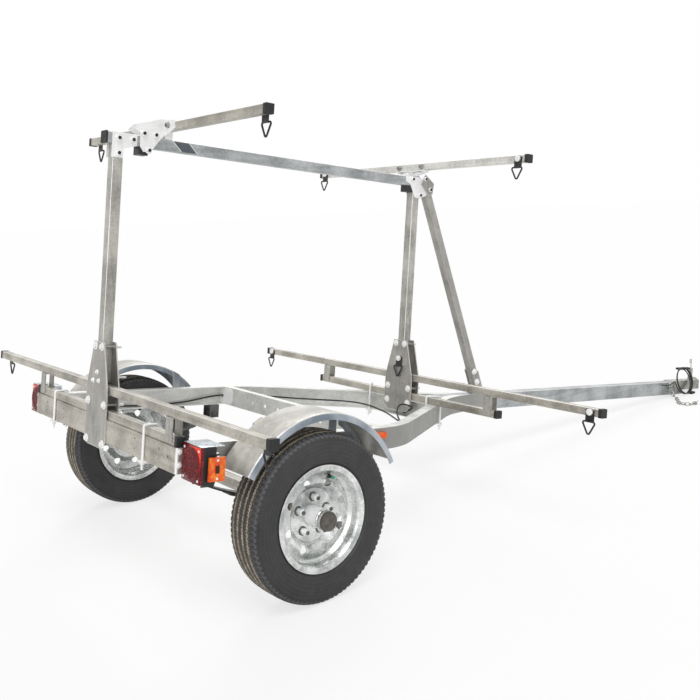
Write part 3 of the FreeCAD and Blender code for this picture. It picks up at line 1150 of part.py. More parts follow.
# The upper rear bar lies between two hinge plates, whose tabs bend outward along the bar's rear face
bar_low = UPPER_BAR_Z - half_bar
tab_back = UPPER_REAR_X - half_bar - HINGE_STRAP
hinge = side_plate(HINGE_OUTLINE, UPPER_REAR_X, -gusset_out, -gusset_in)
tab = prism_x([(-y, BEAM_TOP + z) for y, z in TAB_OUTLINE], tab_back, tab_back + HINGE_STRAP)
tab_bolt = hex_nut(V(tab_back, -TAB_BOLT_Y, BEAM_TOP + TAB_BOLT_RISE), V(-1, 0, 0), PLATE_BOLT_HEAD_RADIUS,
                   PLATE_BOLT_HEAD)
hinge = hinge.fuse(tab).fuse(tab_bolt).removeSplitter()
saddle = box(UPPER_REAR_X - half_bar, UPPER_REAR_X + half_bar, -gusset_in, gusset_in, BEAM_TOP, bar_low)
saddle = saddle.cut(box(UPPER_REAR_X - half_bar, UPPER_REAR_X + half_bar, -gusset_in + HINGE_STRAP,
                        gusset_in - HINGE_STRAP, BEAM_TOP, bar_low - HINGE_STRAP))
keep("bar_clamp_rear", both_sides(hinge) + [saddle] + bolt_heads(HINGE_BOLTS, UPPER_REAR_X, gusset_out))

front_gusset = side_plate(FRONT_GUSSET_OUTLINE, FRONT_STATION_X, -gusset_out, -gusset_in)
keep("corner_gussets_front",
     both_sides(front_gusset) + bolt_heads(FRONT_GUSSET_BOLTS, FRONT_STATION_X, gusset_out))
bridge = box(UPPER_FRONT_X - BRIDGE_WIDTH / 2, UPPER_FRONT_X + BRIDGE_WIDTH / 2, -BRIDGE_HALF, BRIDGE_HALF,
             bar_low - BRIDGE_THICKNESS, bar_low)
post = box(UPPER_FRONT_X - POST_SIZE / 2, UPPER_FRONT_X + POST_SIZE / 2, -POST_SIZE / 2, POST_SIZE / 2,
           BEAM_TOP, bar_low - BRIDGE_THICKNESS)
strut_top = bar_low - BRIDGE_THICKNESS
strut_low = BEAM_TOP + STRUT_RISE
strut = prism_x([(-POST_SIZE / 2, strut_low), (-POST_SIZE / 2, strut_low + STRUT_THICKNESS),
                 (-BRIDGE_HALF + STRUT_THICKNESS, strut_top), (-BRIDGE_HALF, strut_top),
                 (-BRIDGE_HALF, strut_top - STRUT_THICKNESS / 2)],
                UPPER_FRONT_X - POST_SIZE / 2, UPPER_FRONT_X + POST_SIZE / 2)
bridge_bolts = []
for side in (-1, 1):
    bolt_x = UPPER_FRONT_X - half_bar
    bridge_bolts.append(hex_nut(V(bolt_x, side * BRIDGE_BOLT_Y, UPPER_BAR_Z), V(-1, 0, 0),
                                PLATE_BOLT_HEAD_RADIUS, BRIDGE_BOLT_HEAD))
keep("bar_bridge_front", [fuse_all([bridge, post] + both_sides(strut))] + bridge_bolts)
blocks = []
for block_x in (REAR_BLOCK_X, FRONT_BLOCK_X):
    blocks.append(box(block_x, block_x + BLOCK_LENGTH, -gusset_in, gusset_in, BEAM_BOTTOM - BLOCK_HEIGHT,
                      BEAM_BOTTOM))
keep("beam_blocks", blocks)

brace_start = V(BRACE_TOP_X, 0, BRACE_TOP_Z)
brace_end = V(BRACE_FOOT_X, 0, BRACE_FOOT_Z)
brace = tube_between(brace_start, brace_end, BRACE_SIZE, BRACE_WALL, MAST_CORNER)
keep("diagonal_brace", [brace])
brace_plate = side_plate(BRACE_PLATE_OUTLINE, FRONT_STATION_X, -gusset_out - GUSSET_THICKNESS, -gusset_out)
keep("brace_plates_top", both_sides(brace_plate))
ear_in = BRACE_SIZE / 2
base_foot = box(FOOT_BACK_X, FOOT_BACK_X + FOOT_LENGTH, -ear_in - FOOT_THICKNESS, ear_in + FOOT_THICKNESS,
                FRAME_TOP, FRAME_TOP + FOOT_THICKNESS)
foot_top = FRAME_TOP + FOOT_THICKNESS
ear_low_x = BRACE_FOOT_X + BRACE_LEAN_SHARE * (BRACE_FOOT_Z - foot_top)
ear_high_x = BRACE_FOOT_X - BRACE_LEAN_SHARE * (FOOT_EAR_TOP - BRACE_FOOT_Z)
half_ear = FOOT_EAR_WIDTH / 2
ear_points = [(ear_low_x - half_ear, foot_top), (ear_low_x + half_ear, foot_top),
              (ear_high_x + half_ear, FOOT_EAR_TOP), (ear_high_x - half_ear, FOOT_EAR_TOP)]
ear = prism_y(ear_points, -ear_in - FOOT_THICKNESS, -ear_in)
keep("brace_foot", [fuse_all([base_foot] + both_sides(ear))])


# Tie-down rings on a hanger plate under each bar end
def tie_ring(face_x, y, bar_z, outward):
    near = face_x
    far = face_x + outward * RING_PLATE_THICKNESS
    low = bar_z - half_bar - RING_PLATE_DROP
    plate = box(min(near, far), max(near, far), y - RING_PLATE_WIDTH / 2, y + RING_PLATE_WIDTH / 2,
                low, bar_z + half_bar / 2)
    bolt = rod(V(far, y, bar_z), V(far + outward * RING_BOLT_HEIGHT, y, bar_z), RING_BOLT_RADIUS)
    ring_x = far + outward * RING_WIRE
    top = low + RING_WIRE
    points = [V(ring_x, y - RING_HALF_WIDTH, top), V(ring_x, y + RING_HALF_WIDTH, top),
              V(ring_x, y, top - RING_HEIGHT)]
    ring = swept_rod(points, RING_BEND / 2, RING_WIRE, True)
    return [plate.fuse(bolt).removeSplitter(), ring]


rings_lower = []
rings_upper = []
for y in (-RING_REAR_Y, RING_REAR_Y):
    rings_lower.extend(tie_ring(REAR_STATION_X + half_bar, y, LOAD_BAR_Z, 1))
for y in (-RING_FRONT_Y, RING_FRONT_Y):
    rings_lower.extend(tie_ring(FRONT_STATION_X - half_bar, y, LOAD_BAR_Z, -1))
plate_face = FRONT_STATION_X - MAST_SIZE / 2 - PLATE_THICKNESS
rings_lower.extend(tie_ring(plate_face, 0, PLATE_MID_BOLT_Z, -1))
for y in (-RING_UPPER_Y, RING_UPPER_Y):
    rings_upper.extend(tie_ring(UPPER_REAR_X + half_bar, y, UPPER_BAR_Z, 1))
    rings_upper.extend(tie_ring(UPPER_FRONT_X - half_bar, y, UPPER_BAR_Z, -1))
keep("tie_down_rings_lower", rings_lower)
keep("tie_down_rings_upper", rings_upper)


# Safety chains: links set along a route, each turned a quarter from the last
def link():
    straight = LINK_HALF_LENGTH - LINK_HALF_WIDTH
    side = LINK_HALF_WIDTH
    edges = [Part.makeLine(V(-straight, side, 0), V(straight, side, 0)),
             Part.Arc(V(straight, side, 0), V(straight + side, 0, 0), V(straight, -side, 0)).toShape(),
             Part.makeLine(V(straight, -side, 0), V(-straight, -side, 0)),
             Part.Arc(V(-straight, -side, 0), V(-straight - side, 0, 0), V(-straight, side, 0)).toShape()]
    ring = Part.Wire(Part.makeCircle(LINK_WIRE, V(-straight, side, 0), V(1, 0, 0)))
    solid = Part.Wire(edges).makePipeShell([ring], True, False)
    return solid if solid.Volume > 0 else solid.reversed()


def laid_link(curve, reach, turn_degrees):
    place = curve.value(curve.parameterAtDistance(reach))
    ahead = curve.value(curve.parameterAtDistance(reach + CUT_ROOM))
    tangent = ahead.sub(place).normalize()
    across = V(0, 0, 1).cross(tangent).normalize()
    piece = link()
    turn = FreeCAD.Rotation(tangent, across, tangent.cross(across), "XYZ")
    turn = turn.multiply(FreeCAD.Rotation(V(1, 0, 0), turn_degrees))
    piece.Placement = FreeCAD.Placement(place, turn)
    return piece


# Each link is drawn along the route until it all but touches the one before
def chain(points, side, hanger):
    curve = Part.BSplineCurve()
    curve.interpolate(points)
    links = []
    last = hanger
    reach = -LINK_PITCH * HALF_SHARE
    while reach + 2 * LINK_PITCH < curve.length():
        i = len(links)
        roll = LINK_ROLL_DEGREES if i % 2 == 0 else -LINK_ROLL_DEGREES
        roll = FIRST_ROLLS_DEGREES[i] if i < len(FIRST_ROLLS_DEGREES) else roll
        spacing = LINK_PITCH
        piece = laid_link(curve, reach + spacing, side * roll)
        while piece.distToShape(last)[0] < LINK_ROOM:
            spacing = spacing - LINK_STEP
            piece = laid_link(curve, reach + spacing, side * roll)
        links.append(piece)
        last = piece
        reach = reach + spacing
    return links


chains = []
hangers = {}
link_y = tongue_half + CHAIN_SPACER + LINK_WIRE
first_link_z = CHAIN_BOLT_Z + CHAIN_BOLT_RADIUS + LINK_WIRE - LINK_HALF_LENGTH
for side in (-1, 1):
    first = link()
    first.rotate(V(0, 0, 0), V(1, 0, 0), RIGHT_ANGLE)
    first.rotate(V(0, 0, 0), V(0, 1, 0), RIGHT_ANGLE)
    first.translate(V(CHAIN_BOLT_X, side * link_y, first_link_z))
    washer_y = side * (link_y + LINK_WIRE)
    shank = rod(V(CHAIN_BOLT_X, side * tongue_half, CHAIN_BOLT_Z), V(CHAIN_BOLT_X, washer_y, CHAIN_BOLT_Z),
                CHAIN_BOLT_RADIUS)
    head_y = washer_y + side * CHAIN_WASHER_THICKNESS
    washer = rod(V(CHAIN_BOLT_X, washer_y, CHAIN_BOLT_Z), V(CHAIN_BOLT_X, head_y, CHAIN_BOLT_Z),
                 CHAIN_WASHER_RADIUS)
    head = hex_nut(V(CHAIN_BOLT_X, head_y, CHAIN_BOLT_Z), V(0, side, 0), PLATE_BOLT_HEAD_RADIUS,
                   PLATE_BOLT_HEAD)
    spacer = hex_nut(V(CHAIN_BOLT_X, side * tongue_half, CHAIN_BOLT_Z), V(0, side, 0),
                     PLATE_BOLT_HEAD_RADIUS, CHAIN_SPACER)
    hangers[side] = pitched(first)
    chains.append(hangers[side])
    chains.append(pitched(fuse_all([shank, washer, head, spacer])))
start_x, start_z = floor_point(CHAIN_BOLT_X, first_link_z - LINK_PITCH / 2)
for route in CHAIN_ROUTES:
    points = []
    for i, place in enumerate(route):
        side, along, out = place
        share = CHAIN_DROP_SHARES[min(i, len(CHAIN_DROP_SHARES) - 1)]
        height = start_z + (CHAIN_FLOOR_Z - start_z) * share
        points.append(V(start_x + along, side * (link_y + out), height))
    chains.extend(chain(points, side, hangers[side]))
keep("safety_chains", chains, False)


# Lighting cables
def smooth_path(points):
    count = len(points)
    starts = [points[0]]
    ends = [points[0]]
    arcs = [None]
    radii = []
    for i in range(1, count - 1):
        here = points[i]
        before = points[i - 1].sub(here)
        after = points[i + 1].sub(here)
        shorter = min(before.Length, after.Length)
        before = before.normalize()
        after = after.normalize()
        turn = math.pi - math.acos(max(-1, min(1, before.dot(after))))
        reach = CORD_REACH_SHARE * shorter
        radius = reach / math.tan(turn / 2)
        radii.append(radius)
        first = here.add(before * reach)
        last = here.add(after * reach)
        bisector = before.add(after).normalize()
        depth = radius / math.cos(turn / 2) - radius
        starts.append(first)
        ends.append(last)
        arcs.append(Part.Arc(first, here.add(bisector * depth), last).toShape())
    starts.append(points[-1])
    ends.append(points[-1])
    arcs.append(None)
    edges = []
    for i in range(count - 1):
        if arcs[i] is not None:
            edges.append(arcs[i])
        edges.append(Part.makeLine(ends[i], starts[i + 1]))
    return Part.Wire(edges), radii


def cable(points, radius):
    path, radii = smooth_path(points)
    line = points[1].sub(points[0])
    ring = Part.Wire(Part.makeCircle(radius, points[0], line))
    solid = path.makePipeShell([ring], True, False)
    solid = solid if solid.Volume > 0 else solid.reversed()
    ratio = solid.Volume / (math.pi * radius ** 2 * path.Length)
    print("cable", round(path.Length), "volume ratio", round(ratio, 3), "smallest radius", min(radii))
    return solid


def left_side(route):
    return [V(x, y, z) for x, y, z in route]


def right_side(route):
    return [V(x, -y, z) for x, y, z in route]


right_run = left_side(TRUNK_ROUTE) + right_side(LIGHT_RUN)
left_run = left_side(LEFT_ROUTE) + left_side(LIGHT_RUN)
keep("rail_wiring", [cable(right_run, CABLE_RADIUS), cable(left_run, CABLE_RADIUS)])

tongue_end_floor = floor_point(TONGUE_END_X, FRAME_BOTTOM)[0]
lead_points = [V(tongue_end_floor + ahead, y, z) for ahead, y, z in LEAD_AHEAD]
keep("harness_lead", [cable(lead_points, CABLE_RADIUS)], False)
coil = Part.makeTorus(COIL_RADIUS, COIL_SECTION)
coil.rotate(V(0, 0, 0), V(1, 0, 0), RIGHT_ANGLE - COIL_LEAN_DEGREES)
lean = math.radians(COIL_LEAN_DEGREES)
coil_low = COIL_RADIUS * math.cos(lean) + COIL_SECTION
coil.translate(V(tongue_end_floor + COIL_AHEAD, COIL_BOTTOM_Y + COIL_RADIUS * math.sin(lean), coil_low))
keep("harness_coil", [coil], False)
plug_x = tongue_end_floor + PLUG_AHEAD
plug = box(plug_x, plug_x + PLUG_LENGTH, PLUG_Y - PLUG_WIDTH / 2, PLUG_Y + PLUG_WIDTH / 2, 0, PLUG_HEIGHT)
keep("harness_plug", [plug], False)

CORD_NODES = ("harness_lead", "harness_coil", "harness_plug")


# Everything is moved so that the middle of its plan stands at the origin, on the floor
def shift_to_middle():
    lows = []
    highs = []
    for name, shape in nodes.items():
        if name in CORD_NODES:
            continue
        bound = shape.optimalBoundingBox(False, False)
        lows.append((bound.XMin, bound.YMin, bound.ZMin))
        highs.append((bound.XMax, bound.YMax, bound.ZMax))
    low = [min(c[i] for c in lows) for i in range(3)]
    high = [max(c[i] for c in highs) for i in range(3)]
    print("extent", low, high, "pitch", PITCH)
    return V(-(low[0] + high[0]) / 2, -(low[1] + high[1]) / 2, 0)


shift = shift_to_middle()
print("shift", shift, "axle", shift.x, AXLE_Z)
for name, shape in nodes.items():
    shape.translate(shift)
    shape.exportStep("parts/" + name + ".step")
print(len(nodes), "nodes")
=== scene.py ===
import json
import math

import bmesh
import bpy
from mathutils import Matrix, Vector


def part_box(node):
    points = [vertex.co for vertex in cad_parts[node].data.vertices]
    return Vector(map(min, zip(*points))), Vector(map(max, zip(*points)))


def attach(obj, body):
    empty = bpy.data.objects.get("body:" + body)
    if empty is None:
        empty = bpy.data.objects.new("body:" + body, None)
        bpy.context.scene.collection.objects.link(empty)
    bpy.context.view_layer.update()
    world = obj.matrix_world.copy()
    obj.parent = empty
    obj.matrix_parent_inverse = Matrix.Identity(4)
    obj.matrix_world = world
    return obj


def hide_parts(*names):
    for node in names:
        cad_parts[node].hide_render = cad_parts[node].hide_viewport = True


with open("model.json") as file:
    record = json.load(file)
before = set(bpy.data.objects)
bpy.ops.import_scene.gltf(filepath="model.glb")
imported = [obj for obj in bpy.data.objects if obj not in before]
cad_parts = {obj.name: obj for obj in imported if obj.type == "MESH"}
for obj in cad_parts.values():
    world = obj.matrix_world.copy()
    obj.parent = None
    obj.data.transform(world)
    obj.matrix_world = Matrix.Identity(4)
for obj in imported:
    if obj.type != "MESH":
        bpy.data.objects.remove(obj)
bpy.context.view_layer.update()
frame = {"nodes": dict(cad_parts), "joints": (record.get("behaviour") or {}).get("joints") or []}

NODES = frame["nodes"]
FULL_TURN = 2 * math.pi
SIDES = ((1, "left"), (-1, "right"))

# How the level trailer stands in the row frame: nose down, turned about the axle
PITCH = math.radians(7.273983652)
AXLE_X = frame["joints"][0]["pos_m"][0]
AXLE_Z = 0.265
WHEEL_Y = 0.624
LEVEL = (Matrix.Translation((AXLE_X, 0, AXLE_Z)) @ Matrix.Rotation(PITCH, 4, "Y")
         @ Matrix.Translation((0, 0, -AXLE_Z)))

# Tread: its radius, half its width, and how its crown falls away to the edge, gently and then steeply
TREAD_RADIUS = 0.2650
TREAD_HALF = 0.0560
CROWN_FALL = 0.0012
CROWN_POWER = 2.0
SHOULDER_FALL = 0.0030
SHOULDER_POWER = 8.0

# Colours, linear, each from dark to light
GALVANISED = ((0.262, 0.252, 0.230), (0.535, 0.518, 0.478))
WARM = ((0.275, 0.258, 0.222), (0.575, 0.545, 0.480))
BEAM = ((0.26, 0.275, 0.28), (0.52, 0.535, 0.54))
# The rails' pale tone is painted, standing in for sunlight reflected from their flanges and inside
RAIL_SUNLIT = ((0.62, 0.625, 0.60), (0.88, 0.88, 0.85))
CREAM = ((0.46, 0.445, 0.41), (0.78, 0.765, 0.72))
CHAIN = ((0.18, 0.185, 0.16), (0.52, 0.53, 0.47))
BAND = ((0.050, 0.062, 0.078), (0.105, 0.120, 0.140))
BRACKET = ((0.27, 0.32, 0.36), (0.60, 0.65, 0.68))
FENDER = ((0.385, 0.370, 0.338), (0.655, 0.635, 0.585))
# The skirt's bluish tone is a painted reflection
SKIRT_REFLECTION = ((0.190, 0.225, 0.265), (0.52, 0.565, 0.605))
RIM = ((0.36, 0.38, 0.37), (0.92, 0.93, 0.92))
ZINC = ((0.84, 0.845, 0.84), (0.97, 0.97, 0.965))
SLATE = ((0.27, 0.26, 0.24), (0.45, 0.435, 0.405))
CHROME = ((0.62, 0.63, 0.64), (0.78, 0.79, 0.80))
SPRING = ((0.05, 0.05, 0.05), (0.16, 0.16, 0.155))
FASTENER = ((0.10, 0.10, 0.10), (0.30, 0.30, 0.30))
PLUG = ((0.055, 0.048, 0.042), (0.15, 0.135, 0.12))
RUBBER = ((0.020, 0.019, 0.020), (0.040, 0.038, 0.038))
BLACK = ((0.004, 0.004, 0.005), (0.017, 0.017, 0.018))
CABLE = ((0.006, 0.006, 0.007), (0.022, 0.022, 0.022))
RED = ((0.050, 0.0015, 0.005), (0.17, 0.004, 0.010))
BORDER = ((0.13, 0.003, 0.007), (0.85, 0.060, 0.030))
AMBER = ((0.78, 0.045, 0.008), (0.98, 0.185, 0.015))
WINDOW = ((0.03, 0.006, 0.004), (0.10, 0.012, 0.008))
GREEN = ((0.04, 0.30, 0.17), (0.10, 0.48, 0.30))
FLOOR = ((0.965, 0.965, 0.965), (0.985, 0.985, 0.985))

# Single colours: painted highlights on edges and bends, the rails' outer faces, glints in the lenses, dust
# on the tyres, and a grey painted as highlights on the tyres' notches and rings
# Colour of the painted highlights on edges, corners and the fender's bend
EDGE_HIGHLIGHT = (0.88, 0.88, 0.86)
RAIL_OUTER = (0.235, 0.232, 0.218)
RED_GLINT = (0.46, 0.030, 0.034)
AMBER_GLINT = (1.0, 0.40, 0.035)
TREAD_DUST = (0.58, 0.49, 0.36)
TYRE_HIGHLIGHT_GREY = (0.12, 0.12, 0.13)

# How far a texture is squeezed along X, Y and Z, so that its drawn lines run along the piece
ALONG_X = (1, 26, 26)
ALONG_Y = (26, 1, 26)
ALONG_Z = (26, 26, 1)
UNSQUEEZED = (1, 1, 1)

# Most of a noise's values lie between the wide limits, and the narrow ones give it more contrast
WIDE_NOISE = (0.3, 0.7)
NARROW_NOISE = (0.35, 0.65)


# Node helpers: a value is another node's output, a number or a tuple
def node(tree, kind, **inputs):
    made = tree.nodes.new(kind)
    for key, value in inputs.items():
        made.inputs[key.replace("_", " ")].default_value = value
    return made


def feed(tree, sockets, values):
    for socket, value in zip(sockets, values):
        if isinstance(value, (float, tuple)):
            socket.default_value = value
        else:
            tree.links.new(value, socket)


def combined(tree, operation, *values):
    made = tree.nodes.new("ShaderNodeMath")
    made.operation = operation
    feed(tree, made.inputs, values)
    return made.outputs["Value"]


def vector_combined(tree, operation, *values):
    made = tree.nodes.new("ShaderNodeVectorMath")
    made.operation = operation
    feed(tree, made.inputs, values)
    return made.outputs["Value" if operation in ("DOT_PRODUCT", "LENGTH") else "Vector"]


def added(tree, *values):
    total = values[0]
    for value in values[1:]:
        total = combined(tree, "ADD", total, value)
    return total


def scaled(tree, value, low, high, new_low, new_high):
    made = node(tree, "ShaderNodeMapRange", From_Min=low, From_Max=high, To_Min=new_low, To_Max=new_high)
    tree.links.new(value, made.inputs["Value"])
    return made.outputs["Result"]


def coordinate(tree, name):
    return tree.nodes.new("ShaderNodeTexCoord").outputs[name]


def axes(tree, vector):
    made = tree.nodes.new("ShaderNodeSeparateXYZ")
    tree.links.new(vector, made.inputs["Vector"])
    return made.outputs


def squeezed(tree, squeeze):
    mapping = node(tree, "ShaderNodeMapping", Scale=squeeze)
    tree.links.new(coordinate(tree, "Object"), mapping.inputs["Vector"])
    return mapping.outputs["Vector"]


def noise(tree, scale, squeeze=UNSQUEEZED, detail=4.0):
    made = node(tree, "ShaderNodeTexNoise", Scale=scale, Detail=detail)
    tree.links.new(squeezed(tree, squeeze), made.inputs["Vector"])
    return made.outputs["Fac"]


def patches(tree, scale, low, high, squeeze=UNSQUEEZED, detail=4.0):
    return scaled(tree, noise(tree, scale, squeeze, detail), *WIDE_NOISE, low, high)


def cells(tree, scale):
    made = node(tree, "ShaderNodeTexVoronoi", Scale=scale)
    tree.links.new(squeezed(tree, UNSQUEEZED), made.inputs["Vector"])
    split = tree.nodes.new("ShaderNodeSeparateColor")
    tree.links.new(made.outputs["Color"], split.inputs["Color"])
    return split.outputs["Red"]


def blended(tree, share, dark, light):
    made = tree.nodes.new("ShaderNodeMix")
    made.data_type = "RGBA"
    tree.links.new(share, made.inputs["Factor"])
    colours = [(*colour, 1) if isinstance(colour, tuple) else colour for colour in (dark, light)]
    feed(tree, (made.inputs[6], made.inputs[7]), colours)
    return made.outputs[2]


def relief(tree, height, strength, distance):
    made = node(tree, "ShaderNodeBump", Strength=strength, Distance=distance)
    tree.links.new(height, made.inputs["Height"])
    return made.outputs["Normal"]


def parts_of(material):
    tree = material.node_tree
    return tree, tree.nodes["Principled BSDF"]


def start_material(name, metallic):
    material = bpy.data.materials.new(name)
    material.use_nodes = True
    tree, shader = parts_of(material)
    shader.inputs["Metallic"].default_value = metallic
    return material, tree, shader


def finish_material(tree, shader, colour, roughness, normal):
    tree.links.new(colour, shader.inputs["Base Color"])
    tree.links.new(roughness, shader.inputs["Roughness"])
    tree.links.new(normal, shader.inputs["Normal"])


# Painted highlights along edges: where the normal, averaged over a small distance, leaves the surface's
# own. Between these limits of the two normals' likeness the share of the highlight colour grows to its
# most.
EDGE_REACH = 0.0045
EDGE_SAMPLES = 6
EDGE_LIMITS = (0.992, 0.90)
EDGE_SHARE = 0.8


def painted_edge_highlights(tree, colour):
    rounded = node(tree, "ShaderNodeBevel", Radius=EDGE_REACH)
    rounded.samples = EDGE_SAMPLES
    surface = tree.nodes.new("ShaderNodeNewGeometry")
    likeness = vector_combined(tree, "DOT_PRODUCT", rounded.outputs["Normal"], surface.outputs["Normal"])
    return blended(tree, scaled(tree, likeness, *EDGE_LIMITS, 0.0, EDGE_SHARE), colour, EDGE_HIGHLIGHT)


# Painted highlights on the rounded corners of a tube: there the normal points along none of the tube's own
# directions. A tube that leans lies in the plane of the masts, so its sides are told by the crosswise
# share alone. A corner that looks further down than DOWNWARD has the least of it, as if less light fell on
# it.
CORNER_LIMITS = (0.985, 0.86)
CORNER_SHARE = 0.95
CORNER_PATCHES = 14.0
CORNER_PATCH_LEAST = 0.7
DOWNWARD = -0.30
DOWNWARD_SHARE = 0.12


def painted_corner_highlights(tree, colour, leaning):
    turned = node(tree, "ShaderNodeVectorRotate", Angle=-PITCH)
    turned.rotation_type = "Y_AXIS"
    tree.links.new(coordinate(tree, "Normal"), turned.inputs["Vector"])
    normal = turned.outputs["Vector"]
    straight = axes(tree, vector_combined(tree, "ABSOLUTE", normal))
    if leaning:
        crosswise = combined(tree, "MULTIPLY", straight["Y"], straight["Y"])
        inner = combined(tree, "POWER", combined(tree, "MULTIPLY_ADD", crosswise, -1.0, 1.0), 0.5)
    else:
        inner = combined(tree, "MAXIMUM", straight["X"], straight["Z"])
    likeness = combined(tree, "MAXIMUM", inner, straight["Y"])
    lit = scaled(tree, axes(tree, normal)["Z"], DOWNWARD, 0.0, DOWNWARD_SHARE, 1.0)
    patchy = combined(tree, "MULTIPLY", patches(tree, CORNER_PATCHES, CORNER_PATCH_LEAST, 1.0), lit)
    share = combined(tree, "MULTIPLY", scaled(tree, likeness, *CORNER_LIMITS, 0.0, CORNER_SHARE), patchy)
    return blended(tree, share, colour, EDGE_HIGHLIGHT)


# Hot-dip zinc: flat crystals, cloudy patches and fine drawn lines along one axis of the piece
CRYSTAL_SHARE = 0.20
CLOUD_SCALE = 9.0
CLOUD_SHARES = (0.15, 0.85)
LINE_SCALE = 2.4
LINE_DETAIL = 6.0
LINE_SHARE = 0.24
DULLNESS_SCALE = 30.0
DULLNESS_LIMITS = (0.2, 0.9)
GRAIN_SCALE = 260.0
GRAIN_STRENGTH = 0.18
GRAIN_DEPTH = 0.0006


def galvanised(name, tones, squeeze, metallic=0.62, crystal=150.0, rough=(0.34, 0.58), edge="plate"):
    material, tree, shader = start_material(name, metallic)
    crystals = scaled(tree, cells(tree, crystal), 0.0, 1.0, -CRYSTAL_SHARE, CRYSTAL_SHARE)
    clouds = scaled(tree, noise(tree, CLOUD_SCALE), *NARROW_NOISE, *CLOUD_SHARES)
    lines = patches(tree, LINE_SCALE, -LINE_SHARE, LINE_SHARE, squeeze, LINE_DETAIL)
    colour = blended(tree, added(tree, clouds, crystals, lines), *tones)
    # Painted highlights along the edges, or on the rounded corners of tubes
    if edge == "plate":
        colour = painted_edge_highlights(tree, colour)
    else:
        colour = painted_corner_highlights(tree, colour, edge == "leaning")
    dullness = added(tree, crystals, noise(tree, DULLNESS_SCALE))
    roughness = scaled(tree, dullness, *DULLNESS_LIMITS, *rough)
    grain = added(tree, noise(tree, GRAIN_SCALE), lines)
    finish_material(tree, shader, colour, roughness, relief(tree, grain, GRAIN_STRENGTH, GRAIN_DEPTH))
    return material


# Plain surfaces: mottling at two scales
MOTTLE_SHARES = (0.1, 0.9)
SPECK_SHARE = 0.15
SPECK_DETAIL = 2.0
DULLNESS_FINER = 3
MOTTLE_DEPTH = 0.0005


def mottled(name, tones, metallic, rough, scale, bump_scale, strength):
    material, tree, shader = start_material(name, metallic)
    mottles = patches(tree, scale, *MOTTLE_SHARES)
    specks = patches(tree, bump_scale, -SPECK_SHARE, SPECK_SHARE, detail=SPECK_DETAIL)
    colour = blended(tree, added(tree, mottles, specks), *tones)
    roughness = patches(tree, scale * DULLNESS_FINER, *rough)
    bumps = relief(tree, noise(tree, bump_scale), strength, MOTTLE_DEPTH)
    finish_material(tree, shader, colour, roughness, bumps)
    return material


# Rail channel: its flanges and inside are painted pale as a reflection of sunlight, and its outer faces
# keep a darker colour. Crosswise normal times crosswise place, in metres, is above zero where a face looks
# away from the trailer's middle.
RAIL_LIMITS = (0.01, 0.03)
RAIL_OUTER_SHARE = 0.88


def rail_material():
    material = galvanised("rail_channel", RAIL_SUNLIT, ALONG_X, 0.4)
    tree, shader = parts_of(material)
    zinc = shader.inputs["Base Color"].links[0].from_socket
    facing = axes(tree, coordinate(tree, "Normal"))["Y"]
    place = axes(tree, coordinate(tree, "Object"))["Y"]
    outward = combined(tree, "MULTIPLY", facing, place)
    share = scaled(tree, outward, *RAIL_LIMITS, 0.0, RAIL_OUTER_SHARE)
    tree.links.new(blended(tree, share, zinc, RAIL_OUTER), shader.inputs["Base Color"])
    return material


# Fender sheet: a warm dull top, a skirt where it turns down, painted bluish as a reflection, and a painted
# highlight along the bend.
# The limits are crosswise shares of the normal, and the bend lies in the middle of its own.
FENDER_LINES = (1, 9, 1)
SKIRT_SCALE = 7.0
SKIRT_LINES = (1, 6, 1)
SKIRT_LIMITS = (0.35, 0.85)
BEND_LIMITS = (0.25, 0.75)
BEND_FADE = (0.1, 0.9)
BEND_SHARE = 0.8


def fender_material():
    material = galvanised("fender_sheet", FENDER, FENDER_LINES, 0.5, 70.0, (0.28, 0.44))
    tree, shader = parts_of(material)
    top = shader.inputs["Base Color"].links[0].from_socket
    outward = combined(tree, "ABSOLUTE", axes(tree, coordinate(tree, "Normal"))["Y"])
    clouds = scaled(tree, noise(tree, SKIRT_SCALE, SKIRT_LINES), *NARROW_NOISE, 0.0, 1.0)
    skirt_reflection = blended(tree, clouds, *SKIRT_REFLECTION)
    # Faces turned sideways take the painted reflection, and the bend between takes a painted highlight
    sided = blended(tree, scaled(tree, outward, *SKIRT_LIMITS, 0.0, 1.0), top, skirt_reflection)
    from_bend = combined(tree, "ABSOLUTE", scaled(tree, outward, *BEND_LIMITS, -1.0, 1.0))
    bend_highlight = scaled(tree, combined(tree, "SUBTRACT", 1.0, from_bend), *BEND_FADE, 0.0, BEND_SHARE)
    tree.links.new(blended(tree, bend_highlight, sided, EDGE_HIGHLIGHT), shader.inputs["Base Color"])
    return material


# Moulded lens: clear skin over the colour
LENS_ROUGHNESS = (0.22, 0.34)
LENS_GRAIN = 420.0
LENS_STRENGTH = 0.12
LENS_SPECULAR = 0.25
LENS_COAT = 0.2
LENS_COAT_ROUGHNESS = 0.08


def lens_material(name, tones, scale):
    material = mottled(name, tones, 0.0, LENS_ROUGHNESS, scale, LENS_GRAIN, LENS_STRENGTH)
    shader = parts_of(material)[1]
    shader.inputs["Specular IOR Level"].default_value = LENS_SPECULAR
    shader.inputs["Coat Weight"].default_value = LENS_COAT
    shader.inputs["Coat Roughness"].default_value = LENS_COAT_ROUGHNESS
    return material


# Lens of small cells, some of them catching the light
GLINTS_PER_PATCH = 3.4
GLINT_LEAST = 0.72
GLINT_SHARE = 0.75


def glinting_material(name, tones, glint, scale, patch_scale):
    material = lens_material(name, tones, scale)
    tree, shader = parts_of(material)
    field = blended(tree, patches(tree, patch_scale, 0.0, 1.0), *tones)
    share = scaled(tree, cells(tree, patch_scale * GLINTS_PER_PATCH), GLINT_LEAST, 1.0, 0.0, GLINT_SHARE)
    tree.links.new(blended(tree, share, field, glint), shader.inputs["Base Color"])
    return material


# Border of a lamp: deep red, with a painted highlight at its outer upper corner, which these heights and
# distances from the trailer's middle mark off
BORDER_SCALE = 60.0
HIGHLIGHT_HEIGHTS = (0.485, 0.525)
HIGHLIGHT_DISTANCES = (0.575, 0.612)
BORDER_PATCH_SHARE = 0.10


